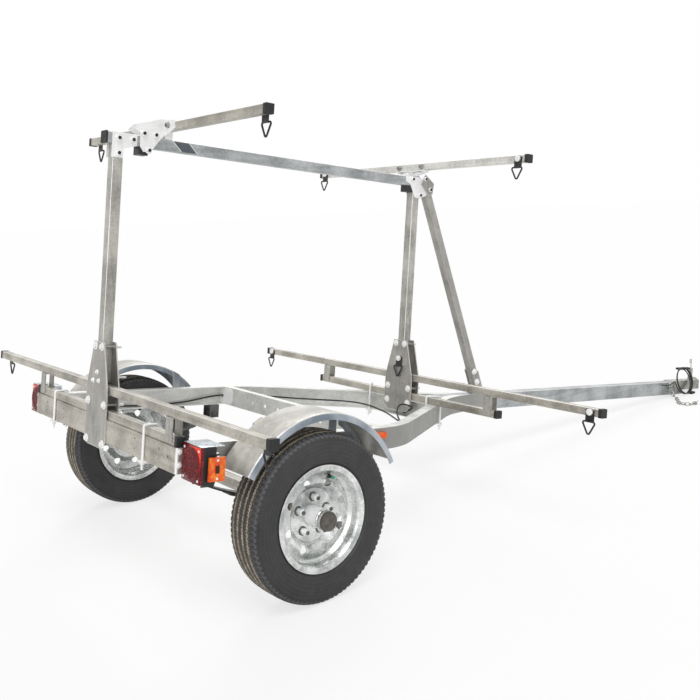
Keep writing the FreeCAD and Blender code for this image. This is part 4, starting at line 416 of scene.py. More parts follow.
def border_material():
    material = lens_material("red_border", BORDER, BORDER_SCALE)
    tree, shader = parts_of(material)
    place = axes(tree, coordinate(tree, "Object"))
    height = scaled(tree, place["Z"], *HIGHLIGHT_HEIGHTS, 0.0, 1.0)
    outward = scaled(tree, combined(tree, "ABSOLUTE", place["Y"]), *HIGHLIGHT_DISTANCES, 0.0, 1.0)
    patchy = patches(tree, BORDER_SCALE, -BORDER_PATCH_SHARE, BORDER_PATCH_SHARE)
    # Share of the painted highlight at the outer upper corner
    share = added(tree, combined(tree, "MULTIPLY", height, outward), patchy)
    tree.links.new(blended(tree, share, *BORDER), shader.inputs["Base Color"])
    return material


# Tyre rubber: faint rings on the sidewall, painted grey as highlights, road dust on the walls of the
# grooves, and shoulder notches painted grey as highlights.
# The rings' wave runs over a range of radii. A groove's wall lies between two depths below the crown,
# each with its own fade. Dust ends and notches begin at a distance from the tyre's middle plane.
RING_RADII = (0.15, 0.27)
RING_PHASE = 62.0
RING_LEAST = 0.72
RING_SHARE = 0.13
SIDEWALL_LIMITS = (TREAD_HALF, 0.0600)
WALL_TOP = (0.0002, 0.0010)
WALL_FOOT = (0.0050, 0.0034)
DUST_LIMITS = (0.0455, 0.0425)
DUST_LEAST = 0.35
NOTCH_LIMITS = (0.0455, 0.0500)
NOTCH_SHARE = 0.55
RUBBER_SCALE = 9.0
RUBBER_SHARES = (0.2, 0.8)
DUST_SCALE = 45.0
FINE_SCALE = 380.0
FINE_LIMITS = (0.2, 0.8)
FINE_HEIGHT = 0.4
RUBBER_DULLNESS = 40.0
RUBBER_ROUGHNESS = (0.52, 0.72)
RUBBER_STRENGTH = 0.25
RUBBER_DEPTH = 0.0005


def axle_distance(tree, place):
    away = vector_combined(tree, "SUBTRACT", place, (AXLE_X, 0, AXLE_Z))
    return vector_combined(tree, "LENGTH", vector_combined(tree, "MULTIPLY", away, (1, 0, 1)))


def middle_distance(tree, place):
    sideways = combined(tree, "ABSOLUTE", axes(tree, place)["Y"])
    return combined(tree, "ABSOLUTE", combined(tree, "SUBTRACT", sideways, WHEEL_Y))


# The tread's own outer radius across the tyre; beyond the shoulders it falls away, so no dust lies there
def crown_height(tree, across):
    share = combined(tree, "DIVIDE", across, TREAD_HALF)
    gentle = combined(tree, "MULTIPLY", combined(tree, "POWER", share, CROWN_POWER), -CROWN_FALL)
    steep = combined(tree, "MULTIPLY", combined(tree, "POWER", share, SHOULDER_POWER), -SHOULDER_FALL)
    return combined(tree, "ADD", TREAD_RADIUS, combined(tree, "ADD", gentle, steep))


def tyre_material():
    material, tree, shader = start_material("tyre_rubber", 0.0)
    place = coordinate(tree, "Object")
    radius = axle_distance(tree, place)
    across = middle_distance(tree, place)
    wave = combined(tree, "SINE", scaled(tree, radius, *RING_RADII, 0.0, RING_PHASE))
    rings = scaled(tree, wave, RING_LEAST, 1.0, 0.0, 1.0)
    rubber = blended(tree, patches(tree, RUBBER_SCALE, *RUBBER_SHARES), *RUBBER)
    below = combined(tree, "SUBTRACT", crown_height(tree, across), radius)
    walls = combined(tree, "MULTIPLY", scaled(tree, below, *WALL_TOP, 0.0, 1.0),
                     scaled(tree, below, *WALL_FOOT, 0.0, 1.0))
    ribs = combined(tree, "MULTIPLY", scaled(tree, across, *DUST_LIMITS, 0.0, 1.0),
                    patches(tree, DUST_SCALE, DUST_LEAST, 1.0))
    notches = scaled(tree, across, *NOTCH_LIMITS, 0.0, NOTCH_SHARE)
    dusty = blended(tree, combined(tree, "MULTIPLY", walls, ribs), rubber, TREAD_DUST)
    # Notch walls painted grey as highlights
    notch_highlighted = blended(tree, combined(tree, "MULTIPLY", walls, notches), dusty, TYRE_HIGHLIGHT_GREY)
    # Sidewall rings painted grey as highlights
    lines = combined(tree, "MULTIPLY", rings, scaled(tree, across, *SIDEWALL_LIMITS, 0.0, RING_SHARE))
    colour = blended(tree, lines, notch_highlighted, TYRE_HIGHLIGHT_GREY)
    fine = scaled(tree, noise(tree, FINE_SCALE), *FINE_LIMITS, 0.0, FINE_HEIGHT)
    bumps = relief(tree, added(tree, rings, fine), RUBBER_STRENGTH, RUBBER_DEPTH)
    finish_material(tree, shader, colour, patches(tree, RUBBER_DULLNESS, *RUBBER_ROUGHNESS), bumps)
    return material


MATERIALS = {
    "along_y": galvanised("galvanised_along_y", WARM, ALONG_Y, edge="straight"),
    "along_z": galvanised("galvanised_along_z", GALVANISED, ALONG_Z, edge="leaning"),
    "rail": rail_material(),
    "beam": galvanised("cool_tube", BEAM, ALONG_X, edge="leaning"),
    "brace": galvanised("brace_tube", SLATE, ALONG_Z, edge="leaning"),
    "cream": galvanised("pale_tube", CREAM, ALONG_Y, edge="straight"),
    "chain": galvanised("chain_zinc", CHAIN, (5, 5, 5), 0.75, 400.0, (0.25, 0.45)),
    "bracket": galvanised("bracket_zinc", BRACKET, (5, 12, 5), 0.6, 60.0, (0.20, 0.36)),
    "band": mottled("dark_band", BAND, 0.0, (0.30, 0.45), 18.0, 260.0, 0.05),
    "slate": galvanised("weathered_plate", SLATE, ALONG_Z),
    "fender": fender_material(),
    "rim": galvanised("wheel_zinc", RIM, (7, 1, 7), 0.75, 85.0, (0.16, 0.36)),
    "zinc": galvanised("bright_zinc", ZINC, (5, 5, 5), 0.1, 300.0, (0.28, 0.46)),
    "spring": mottled("spring_steel", SPRING, 0.55, (0.36, 0.6), 20.0, 260.0, 0.25),
    "fastener": mottled("dark_fastener", FASTENER, 0.7, (0.3, 0.5), 60.0, 300.0, 0.15),
    "plug": mottled("cap_plug", PLUG, 0.1, (0.45, 0.7), 60.0, 380.0, 0.3),
    "chrome": mottled("polished_cap", CHROME, 1.0, (0.08, 0.16), 30.0, 300.0, 0.04),
    "black_steel": mottled("black_coating", BLACK, 0.0, (0.32, 0.5), 40.0, 420.0, 0.18),
    "plastic": mottled("black_moulding", BLACK, 0.0, (0.5, 0.7), 30.0, 520.0, 0.25),
    "cable": mottled("cable_jacket", CABLE, 0.0, (0.34, 0.5), 50.0, 500.0, 0.1),
    "red": glinting_material("red_lens", RED, RED_GLINT, 90.0, 110.0),
    "border": border_material(),
    "amber": glinting_material("amber_lens", AMBER, AMBER_GLINT, 34.0, 42.0),
    "window": lens_material("marker_window", WINDOW, 60.0),
    "green": mottled("valve_cap", GREEN, 0.0, (0.3, 0.45), 90.0, 400.0, 0.05),
    "tyre": tyre_material(),
}

# The material of each node, by how its name starts
NODE_MATERIALS = {
    "rail": ("side_rail", "middle_cross_member", "front_cross_member"),
    "beam": ("top_beam", "tongue_tube"),
    "along_y": ("axle_beam", "base_bar", "load_bar_lower", "load_bar_upper_rear", "rear_cross_member"),
    "cream": ("load_bar_upper_front",),
    "brace": ("diagonal_brace", "brace_foot"),
    "along_z": ("mast_rear", "mast_front", "risers"),
    "slate": ("mast_plates", "brace_plates"),
    "fender": ("fender",),
    "rim": ("wheel_rim",),
    "zinc": ("frame_clamps", "corner_gussets", "bar_clamp", "bar_bridge", "middle_member_plates", "hub"),
    "chain": ("coupler_body", "coupler_latch", "safety_chains"),
    "spring": ("leaf_spring",),
    "black_steel": ("tie_down_rings", "beam_blocks"),
    "plastic": ("end_caps", "latch_grip", "tail_light_housing", "harness_plug"),
    "cable": ("harness_lead", "harness_coil", "rail_wiring"),
    "red": ("tail_light_lens",),
    "amber": ("side_marker", "front_markers"),
    "tyre": ("tyre",),
}


def dress_nodes():
    for key, starts in NODE_MATERIALS.items():
        for name, shown in NODES.items():
            if name.startswith(starts):
                shown.data.materials.clear()
                shown.data.materials.append(MATERIALS[key])


dress_nodes()


# Mesh helpers. The trailer's pieces are drawn level and turned nose down here, and the wheels' pieces
# are drawn as they stand. Angles are in degrees.
SMOOTH_ANGLE = 30
TREAD_SMOOTH_ANGLE = 40

# How many sides a turned form has, by what it is
HEXAGON = 6
BEAD_SIDES = 8
SCREW_SIDES = 12
STUD_SIDES = 16
WASHER_SIDES = 24
CAP_SIDES = 48


def piece(name, mesh, key, body, smooth_angle):
    made = bpy.data.objects.new(name, mesh)
    bpy.context.scene.collection.objects.link(made)
    mesh.materials.append(MATERIALS[key])
    bpy.context.view_layer.objects.active = made
    made.select_set(True)
    bpy.ops.object.shade_smooth_by_angle(angle=math.radians(smooth_angle))
    made.select_set(False)
    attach(made, body)
    return made


def from_bmesh(name, shape, key, body="trailer"):
    if body == "trailer":
        shape.transform(LEVEL)
    mesh = bpy.data.meshes.new(name)
    bmesh.ops.recalc_face_normals(shape, faces=shape.faces)
    shape.to_mesh(mesh)
    shape.free()
    piece(name, mesh, key, body, SMOOTH_ANGLE)


def axis_frame(base, direction):
    turn = Vector(direction).normalized().to_track_quat("Z", "Y").to_matrix().to_4x4()
    return Matrix.Translation(base) @ turn


# A profile is a list of radii and heights, turned about the direction
def add_lathe(shape, base, direction, profile, sides):
    place = axis_frame(base, direction)
    turns = [FULL_TURN * i / sides for i in range(sides)]
    rings = []
    for radius, height in profile:
        corners = [(radius * math.cos(turn), radius * math.sin(turn), height) for turn in turns]
        rings.append([shape.verts.new(place @ Vector(corner)) for corner in corners])
    for low, high in zip(rings, rings[1:]):
        for i in range(sides):
            j = (i + 1) % sides
            shape.faces.new((low[i], low[j], high[j], high[i]))
    shape.faces.new(list(reversed(rings[0])))
    shape.faces.new(rings[-1])


def make_turned(name, base, direction, profile, sides, key, body):
    shape = bmesh.new()
    add_lathe(shape, base, direction, profile, sides)
    from_bmesh(name, shape, key, body)


# A hexagon head on a washer, seen from outside, with the end of its thread where it has a tail.
# The washer's thickness is a share of the head's height, and its edge and bevel are shares of that.
# The other sizes are shares of the head's radius or height.
WASHER_WIDTH = 1.45
WASHER_THICKNESS = 0.22
WASHER_EDGE = 0.7
WASHER_BEVEL = 0.3
HEAD_EDGE = 0.8
HEAD_TOP = 0.86
THREAD_FOOT = 0.9
THREAD_WIDTH = 0.52
THREAD_TIP = 0.42
THREAD_POINT = 0.12


def add_bolt(shape, base, direction, radius, height, washer=WASHER_WIDTH, tail=0.0):
    direction = Vector(direction).normalized()
    base = Vector(base)
    thin = height * WASHER_THICKNESS
    wide = radius * washer
    add_lathe(shape, base, direction,
              [(wide, 0), (wide, thin * WASHER_EDGE), (wide - thin * WASHER_BEVEL, thin)], WASHER_SIDES)
    head = base + direction * thin
    add_lathe(shape, head, direction,
              [(radius, 0), (radius, height * HEAD_EDGE), (radius * HEAD_TOP, height)], HEXAGON)
    if tail:
        add_lathe(shape, head + direction * height * THREAD_FOOT, direction,
                  [(radius * THREAD_WIDTH, 0), (radius * THREAD_WIDTH, tail),
                   (radius * THREAD_TIP, tail + radius * THREAD_POINT)], SCREW_SIDES)


def add_box(shape, low, high, bevel):
    verts = bmesh.ops.create_cube(shape, size=1.0)["verts"]
    size = [b - a for a, b in zip(low, high)]
    middle = [(a + b) / 2 for a, b in zip(low, high)]
    bmesh.ops.scale(shape, vec=size, verts=verts)
    bmesh.ops.translate(shape, vec=middle, verts=verts)
    edges = list({edge for vert in verts for edge in vert.link_edges})
    bmesh.ops.bevel(shape, geom=edges, offset=bevel, segments=2, affect="EDGES", profile=0.5)


# The corners are those of the left box, and side turns it over to the right
def add_side_box(shape, side, low, high, bevel):
    near, far = sorted((side * low[1], side * high[1]))
    add_box(shape, (low[0], near, low[2]), (high[0], far, high[2]), bevel)


# Tyres: five ribs between zigzag grooves, cut at their edges, with notched shoulders. A pitch is one
# repeat of the pattern round the tyre, and the cuts and notches lie at some of its steps.
TREAD_STEPS = 72
PITCHES = 90
PITCH_STEPS = 6
GROOVES = (-0.0365, -0.0125, 0.0125, 0.0365)
GROOVE_HALF = 0.0026
GROOVE_WALL = 0.0014
GROOVE_DEPTH = 0.0068
ZIGZAG = (0.0, 0.0011, 0.0022, 0.0022, 0.0011, 0.0)
EDGE_CUT_STEPS = (1, 4)
EDGE_CUT_REACH = 0.0072
EDGE_CUT_DEPTH = 0.0030
NOTCH_STEPS = (2, 3)
NOTCH_START = 0.0490
NOTCH_DEPTH = 0.0034
SIDE_NOTCH_START = 0.2420
SIDE_NOTCH_FADE = 0.008
SIDE_NOTCH_DEPTH = 0.0022

# Distances from the tyre's middle plane and radii: its side from shoulder to bead, and its hidden inside
SIDE_PROFILE = ((0.0590, 0.2592), (0.0618, 0.2548), (0.0640, 0.2496), (0.0658, 0.2430), (0.0672, 0.2360),
                (0.0684, 0.2290), (0.0692, 0.2215), (0.0697, 0.2140), (0.0697, 0.2070), (0.0694, 0.2000),
                (0.0686, 0.1935), (0.0674, 0.1875), (0.0658, 0.1822), (0.0646, 0.1790), (0.0644, 0.1768),
                (0.0622, 0.1748), (0.0596, 0.1722), (0.0570, 0.1700), (0.0556, 0.1672), (0.0552, 0.1612),
                (0.0522, 0.1542))
INNER_PROFILE = ((-0.0400, 0.1580), (-0.0560, 0.2080), (-0.0440, 0.2500), (0.0, 0.2530),
                 (0.0440, 0.2500), (0.0560, 0.2080), (0.0400, 0.1580))


def about_axle(radius, turn, y):
    return Vector((AXLE_X + radius * math.cos(turn), y, AXLE_Z + radius * math.sin(turn)))


def crown_radius(y):
    share = abs(y) / TREAD_HALF
    return TREAD_RADIUS - CROWN_FALL * share ** CROWN_POWER - SHOULDER_FALL * share ** SHOULDER_POWER


def tread_cut(y, step):
    shift = ZIGZAG[step] - ZIGZAG[2] / 2
    nearest = min(abs(y - groove - shift) for groove in GROOVES)
    cut = min(max((GROOVE_HALF + GROOVE_WALL - nearest) / GROOVE_WALL, 0), 1) * GROOVE_DEPTH
    if step in EDGE_CUT_STEPS and nearest < EDGE_CUT_REACH:
        cut = max(cut, EDGE_CUT_DEPTH)
    if step in NOTCH_STEPS and abs(y) > NOTCH_START:
        cut = max(cut, NOTCH_DEPTH)
    return cut


def side_cut(radius, step):
    if step in NOTCH_STEPS and radius > SIDE_NOTCH_START:
        return SIDE_NOTCH_DEPTH * min((radius - SIDE_NOTCH_START) / SIDE_NOTCH_FADE, 1)
    return 0.0


def tyre_points(step):
    points = []
    for y, radius in reversed(SIDE_PROFILE):
        points.append((-y + side_cut(radius, step), radius - side_cut(radius, step) / 2))
    for i in range(TREAD_STEPS + 1):
        y = TREAD_HALF * (2 * i / TREAD_STEPS - 1)
        points.append((y, crown_radius(y) - tread_cut(y, step)))
    for y, radius in SIDE_PROFILE:
        points.append((y - side_cut(radius, step), radius - side_cut(radius, step) / 2))
    points.extend(reversed(INNER_PROFILE))
    return points


def make_tyre(side, word):
    sections = [tyre_points(step) for step in range(PITCH_STEPS)]
    count = len(sections[0])
    turns = PITCHES * PITCH_STEPS
    verts = []
    for i in range(turns):
        for y, radius in sections[i % PITCH_STEPS]:
            verts.append(about_axle(radius, FULL_TURN * i / turns, side * (WHEEL_Y + y)))
    faces = []
    for i in range(turns):
        here = i * count
        there = (i + 1) % turns * count
        for j in range(count):
            k = (j + 1) % count
            corner = (here + j, here + k, there + k, there + j)
            faces.append(corner if side > 0 else tuple(reversed(corner)))
    mesh = bpy.data.meshes.new("tyre_tread_" + word)
    mesh.from_pydata(verts, [], faces)
    mesh.update()
    tyre = piece("tyre_tread_" + word, mesh, "tyre", "wheel_" + word, TREAD_SMOOTH_ANGLE)
    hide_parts("tyre_" + word)


# Wheel trim: valve and its cap, ring and dark plug of the hub cap, ends of the wheel studs, and dark rings
# round the feet of the nuts as painted shade
VALVE_TURN = math.radians(61)
VALVE_RADIUS = 0.128
VALVE_Y = WHEEL_Y + 0.012
VALVE_PROFILE = ((0.0078, 0), (0.0080, 0.004), (0.0056, 0.008), (0.0040, 0.022))
VALVE_CAP_Y = VALVE_Y + 0.0221
VALVE_CAP_PROFILE = ((0.0048, 0), (0.0050, 0.002), (0.0050, 0.009), (0.0036, 0.011))
CAP_END = 0.714
CAP_RING_Y = CAP_END - 0.032
CAP_RING_PROFILE = ((0.0296, 0), (0.0312, 0.002), (0.0312, 0.006), (0.0300, 0.0075), (0.0300, 0.012),
                    (0.0310, 0.0135), (0.0310, 0.018), (0.0296, 0.0205))
CAP_PLUG_PROFILE = ((0.0303, -0.0100), (0.0306, -0.0030), (0.0290, 0.0014), (0.0256, 0.0022),
                    (0.0240, 0.0010), (0.0060, 0.0008))
LUG_CIRCLE = 0.05715
LUG_FACE = 0.6535
# Place and shape of the dark rings painted as shade round the nuts' feet
LUG_SHADE_RING = 0.6281
LUG_COUNT = 5
LUG_TURN = math.radians(90) - PITCH
LUG_STUD_PROFILE = ((0.0064, 0), (0.0064, 0.0030), (0.0054, 0.0040))
LUG_SHADE_PROFILE = ((0.0150, 0), (0.0146, 0.0014), (0.0110, 0.0018))


def make_wheel_trim(side, word):
    body = "wheel_" + word
    along = (0, side, 0)
    valve_foot = about_axle(VALVE_RADIUS, VALVE_TURN, side * VALVE_Y)
    cap_foot = about_axle(VALVE_RADIUS, VALVE_TURN, side * VALVE_CAP_Y)
    make_turned("valve_stem_" + word, valve_foot, along, VALVE_PROFILE, STUD_SIDES, "plastic", body)
    make_turned("valve_cap_" + word, cap_foot, along, VALVE_CAP_PROFILE, STUD_SIDES, "green", body)
    ring_start = Vector((AXLE_X, side * CAP_RING_Y, AXLE_Z))
    plug_start = Vector((AXLE_X, side * CAP_END, AXLE_Z))
    make_turned("cap_ring_" + word, ring_start, along, CAP_RING_PROFILE, CAP_SIDES, "chrome", body)
    make_turned("cap_plug_" + word, plug_start, along, CAP_PLUG_PROFILE, CAP_SIDES, "plug", body)
    studs = bmesh.new()
    for i in range(LUG_COUNT):
        turn = LUG_TURN + FULL_TURN * i / LUG_COUNT
        end = about_axle(LUG_CIRCLE, turn, side * LUG_FACE)
        shade_ring = about_axle(LUG_CIRCLE, turn, side * LUG_SHADE_RING)
        add_lathe(studs, end, along, LUG_STUD_PROFILE, STUD_SIDES)
        # A dark ring round each nut's foot, as painted shade
        add_lathe(studs, shade_ring, along, LUG_SHADE_PROFILE, WASHER_SIDES)
    from_bmesh("lug_studs_and_shade_rings_" + word, studs, "spring", body)


for wheel_side, wheel_word in SIDES:
    make_tyre(wheel_side, wheel_word)
    make_wheel_trim(wheel_side, wheel_word)


# Tail lamps: a red border with a round field of small lenses, four screws, and a marker with a window.
# The outlines are those of the housings and lenses in the CAD, and the rest lies just outside them.
LENS_BACK = -0.4250
LENS_IN = 0.5460
LENS_OUT = 0.6470
LENS_LOW = 0.4020
LENS_HIGH = 0.5080
BORDER_X = (LENS_BACK - 0.0016, LENS_BACK - 0.0001)
BORDER_INSET = 0.001
BORDER_BEVEL = 0.0006
FIELD_X = LENS_BACK - 0.0017
FIELD_RADIUS = 0.0475
FIELD_PROFILE = ((FIELD_RADIUS, 0), (FIELD_RADIUS, 0.0022), (FIELD_RADIUS - 0.0016, 0.0030))
BEAD_X = LENS_BACK - 0.0047
BEAD_PITCH = 0.0068
BEAD_MARGIN = BEAD_PITCH * 0.7
BEAD_PROFILE = ((0.0029, 0), (0.0024, 0.0012), (0.0010, 0.0019))
SCREW_INSET = 0.011
SCREW_PROFILE = ((0.0038, 0), (0.0034, 0.0014), (0.0018, 0.0020))
MARKER_FACE = 0.6610
MARKER_BACK = -0.4040
MARKER_FRONT = -0.3520
MARKER_LOW = 0.4140
MARKER_HIGH = 0.4820
MARKER_SCREW_INSET = 0.008
MARKER_SCREW_PROFILE = ((0.0040, 0), (0.0036, 0.0014), (0.0018, 0.0020))
WINDOW_Y = (MARKER_FACE + 0.0001, MARKER_FACE + 0.0012)
WINDOW_HALF = 0.0068
WINDOW_INSET = 0.023
WINDOW_BEVEL = 0.0005
BACKWARD = (-1, 0, 0)
FORWARD = (1, 0, 0)


def make_lens(side, word):
    border = bmesh.new()
    add_side_box(border, side, (BORDER_X[0], LENS_IN + BORDER_INSET, LENS_LOW + BORDER_INSET),
                 (BORDER_X[1], LENS_OUT - BORDER_INSET, LENS_HIGH - BORDER_INSET), BORDER_BEVEL)
    from_bmesh("lamp_border_" + word, border, "border")
    middle_y = side * (LENS_IN + LENS_OUT) / 2
    middle_z = (LENS_LOW + LENS_HIGH) / 2
    field = bmesh.new()
    add_lathe(field, (FIELD_X, middle_y, middle_z), BACKWARD, FIELD_PROFILE, CAP_SIDES)
    reach = int(FIELD_RADIUS / BEAD_PITCH)
    shifts = [i * BEAD_PITCH for i in range(-reach, reach + 1)]
    for y in shifts:
        for z in shifts:
            if math.hypot(y, z) < FIELD_RADIUS - BEAD_MARGIN:
                add_lathe(field, (BEAD_X, middle_y + y, middle_z + z), BACKWARD, BEAD_PROFILE, BEAD_SIDES)
    from_bmesh("lamp_field_" + word, field, "red")


def make_lamp_details(side, word):
    screws = bmesh.new()
    for y in (LENS_IN + SCREW_INSET, LENS_OUT - SCREW_INSET):
        for z in (LENS_LOW + SCREW_INSET, LENS_HIGH - SCREW_INSET):
            add_lathe(screws, (FIELD_X, side * y, z), BACKWARD, SCREW_PROFILE, SCREW_SIDES)
    middle_x = (MARKER_BACK + MARKER_FRONT) / 2
    for z in (MARKER_LOW + MARKER_SCREW_INSET, MARKER_HIGH - MARKER_SCREW_INSET):
        base = (middle_x, side * MARKER_FACE, z)
        add_lathe(screws, base, (0, side, 0), MARKER_SCREW_PROFILE, SCREW_SIDES)
    from_bmesh("lamp_screws_" + word, screws, "zinc")
    window = bmesh.new()
    add_side_box(window, side, (middle_x - WINDOW_HALF, WINDOW_Y[0], MARKER_LOW + WINDOW_INSET),
                 (middle_x + WINDOW_HALF, WINDOW_Y[1], MARKER_HIGH - WINDOW_INSET), WINDOW_BEVEL)
    from_bmesh("marker_window_" + word, window, "window")


for lamp_side, lamp_word in SIDES:
    make_lens(lamp_side, lamp_word)
    make_lamp_details(lamp_side, lamp_word)


# Bolts over the model's plain ones: through bolts on the mast plates, at distances from the middle and
# heights, and heads on the top joints, at places along and above a station
REAR_STATION = -0.428
FRONT_STATION = 0.976
UPPER_REAR = -0.240
UPPER_FRONT = 0.966
BEAM_TOP = 1.4465
HALF_MAST = 0.01905
PLATE = 0.004
GUSSET = 0.003
HALF_BAR = 0.0143
HEAD_RADIUS = 0.0098
HEAD_HEIGHT = 0.0080
PLATE_HEAD = 0.0061
BOLT_TAIL = 0.016
SIDE_WASHER = 1.25
# Black stud ends on the side bolts, standing in for the shaded side of the heads as painted shade
SHADE_STUD_PROFILE = ((0.0060, 0), (0.0060, 0.0030), (0.0052, 0.0036))
PLATE_BOLTS = {"rear": (REAR_STATION, ((0.025, 0.726), (0.062, 0.536), (0.062, 0.406))),
               "front": (FRONT_STATION, ((0.025, 0.726), (0.062, 0.538), (0.062, 0.476)))}
SIDE_BOLTS = {"rear_gusset": (REAR_STATION, ((-0.003, -0.01905), (-0.002, -0.0695), (0.049, -0.01905))),
              "hinge": (UPPER_REAR, ((-0.100, 0.008), (-0.055, 0.008), (-0.078, -0.0475))),
              "front_gusset": (FRONT_STATION, ((0.018, -0.075), (-0.030, -0.010))),
              "brace_top": (FRONT_STATION, ((0.046, -0.002), (0.078, -0.045)))}

# Small bolts in the middle of the rear plate, one with a long tail, and those of the brace's foot and bars
SMALL_RADIUS = 0.0062
SMALL_HEIGHT = 0.0055
CLUSTER = ((0.002, 0.639), (0.030, 0.608), (-0.014, 0.611))
CLUSTER_TAIL = (-0.014, 0.620, 0.046)
FOOT_BOLTS = ((1.418, 0.594), (1.441, 0.546))
FOOT_FACE = 0.0215
BAR_HEAD_RADIUS = HEAD_RADIUS * 0.94
BAR_WASHER = 1.1
BAR_FACE_BOLTS = ((UPPER_REAR - HALF_BAR - PLATE, 0.042, BEAM_TOP + 0.046),
                  (UPPER_FRONT - HALF_BAR, 0.066, BEAM_TOP + 0.0418))


def make_plate_bolts(word, station, places):
    bolts = bmesh.new()
    out = HALF_MAST + PLATE
    for y, z in places:
        for side in (-1, 1):
            add_bolt(bolts, (station - out, side * y, z), BACKWARD, HEAD_RADIUS, PLATE_HEAD)
            add_bolt(bolts, (station + out, side * y, z), FORWARD, HEAD_RADIUS, PLATE_HEAD, tail=BOLT_TAIL)
    from_bmesh("plate_bolts_" + word, bolts, "zinc")


def make_side_bolts(word, station, places):
    bolts = bmesh.new()
    studs = bmesh.new()
    out = HALF_MAST + GUSSET
    for x, z in places:
        for side in (-1, 1):
            base = (station + x, side * out, BEAM_TOP + z)
            end = (station + x, side * (out + HEAD_HEIGHT), BEAM_TOP + z)
            add_bolt(bolts, base, (0, side, 0), HEAD_RADIUS, HEAD_HEIGHT, washer=SIDE_WASHER)
            # Black stud on each head, as painted shade
            add_lathe(studs, end, (0, side, 0), SHADE_STUD_PROFILE, STUD_SIDES)
    from_bmesh("side_bolts_" + word, bolts, "zinc")
    from_bmesh("side_shade_studs_" + word, studs, "plastic")


def make_cluster():
    cluster = bmesh.new()
    out = HALF_MAST + PLATE
    for y, z in CLUSTER:
        add_bolt(cluster, (REAR_STATION - out, y, z), BACKWARD, SMALL_RADIUS, SMALL_HEIGHT)
    y, z, tail = CLUSTER_TAIL
    add_bolt(cluster, (REAR_STATION + out, y, z), FORWARD, SMALL_RADIUS, SMALL_HEIGHT, tail=tail)
    from_bmesh("plate_bolts_middle", cluster, "zinc")


def make_foot_bolts():
    feet = bmesh.new()
    for x, z in FOOT_BOLTS:
        for side in (-1, 1):
            add_bolt(feet, (x, side * FOOT_FACE, z), (0, side, 0), HEAD_RADIUS, HEAD_HEIGHT)
    from_bmesh("brace_foot_bolts", feet, "zinc")


def make_bar_bolts():
    bars = bmesh.new()
    for x, y, z in BAR_FACE_BOLTS:
        for side in (-1, 1):
            add_bolt(bars, (x, side * y, z), BACKWARD, BAR_HEAD_RADIUS, HEAD_HEIGHT, washer=BAR_WASHER)
    from_bmesh("bar_bolts", bars, "fastener")


for bolt_word, (bolt_station, bolt_places) in PLATE_BOLTS.items():
    make_plate_bolts(bolt_word, bolt_station, bolt_places)
for bolt_word, (bolt_station, bolt_places) in SIDE_BOLTS.items():
    make_side_bolts(bolt_word, bolt_station, bolt_places)
make_cluster()
make_foot_bolts()
make_bar_bolts()


# A plain dark band, with pale edges, slanting across each side of the top beam
BAND_TOP = (-0.2215, -0.1595)
BAND_FOOT = (-0.1865, -0.1245)
BAND_LOW = 1.4112
BAND_HIGH = 1.4438
BAND_THICK = 0.0003
BAND_EDGE = 0.0035


# Top and foot each give where the strip begins and ends along the beam
def add_slanted(shape, side, top, foot):
    near = side * (HALF_MAST - BAND_THICK)
    far = side * (HALF_MAST + BAND_THICK)
    outline = ((top[0], BAND_HIGH), (top[1], BAND_HIGH), (foot[1], BAND_LOW), (foot[0], BAND_LOW))
    rings = [[shape.verts.new((x, y, z)) for x, z in outline] for y in (near, far)]
    for ring in rings:
        shape.faces.new(ring)
    for i in range(4):
        j = (i + 1) % 4
        shape.faces.new((rings[0][i], rings[0][j], rings[1][j], rings[1][i]))


def make_band(side, word):
    film = bmesh.new()
    add_slanted(film, side, BAND_TOP, BAND_FOOT)
    from_bmesh("beam_band_" + word, film, "band")
    edges = bmesh.new()
    add_slanted(edges, side, (BAND_TOP[0] - BAND_EDGE, BAND_TOP[0]),
                (BAND_FOOT[0] - BAND_EDGE, BAND_FOOT[0]))
    add_slanted(edges, side, (BAND_TOP[1], BAND_TOP[1] + BAND_EDGE),
                (BAND_FOOT[1], BAND_FOOT[1] + BAND_EDGE))
    from_bmesh("beam_band_edges_" + word, edges, "zinc")


# Plate that caps each lamp, its inner edge turned down, and the two nuts on the end face beside it
CAP_LOW = 0.5083
CAP_HIGH = 0.5105
CAP_BACK = -0.4240
CAP_FRONT = -0.3450
CAP_INNER = 0.5480
CAP_OUTER = 0.6440
CAP_BEVEL = 0.0008
CAP_FLANGE_BACK = CAP_BACK + 0.052
CAP_FLANGE_LOW = CAP_LOW - 0.030
CAP_FLANGE_HIGH = CAP_HIGH - 0.0005
CAP_FLANGE_OUTER = CAP_INNER + 0.0022
NUT_PLACES = ((-0.4362, 0.5461, 0.4790), (-0.4362, 0.5461, 0.4400))


def make_lamp_cap(side, word):
    cap = bmesh.new()
    add_side_box(cap, side, (CAP_BACK, CAP_INNER, CAP_LOW), (CAP_FRONT, CAP_OUTER, CAP_HIGH), CAP_BEVEL)
    add_side_box(cap, side, (CAP_FLANGE_BACK, CAP_INNER, CAP_FLANGE_LOW),
                 (CAP_FRONT, CAP_FLANGE_OUTER, CAP_FLANGE_HIGH), CAP_BEVEL)
    from_bmesh("lamp_cap_" + word, cap, "bracket")
    nuts = bmesh.new()
    for x, y, z in NUT_PLACES:
        add_bolt(nuts, (x, side * y, z), (0, side, 0), SMALL_RADIUS, SMALL_HEIGHT)
    from_bmesh("lamp_nuts_" + word, nuts, "zinc")


for trim_side, trim_word in SIDES:
    make_band(trim_side, trim_word)
    make_lamp_cap(trim_side, trim_word)


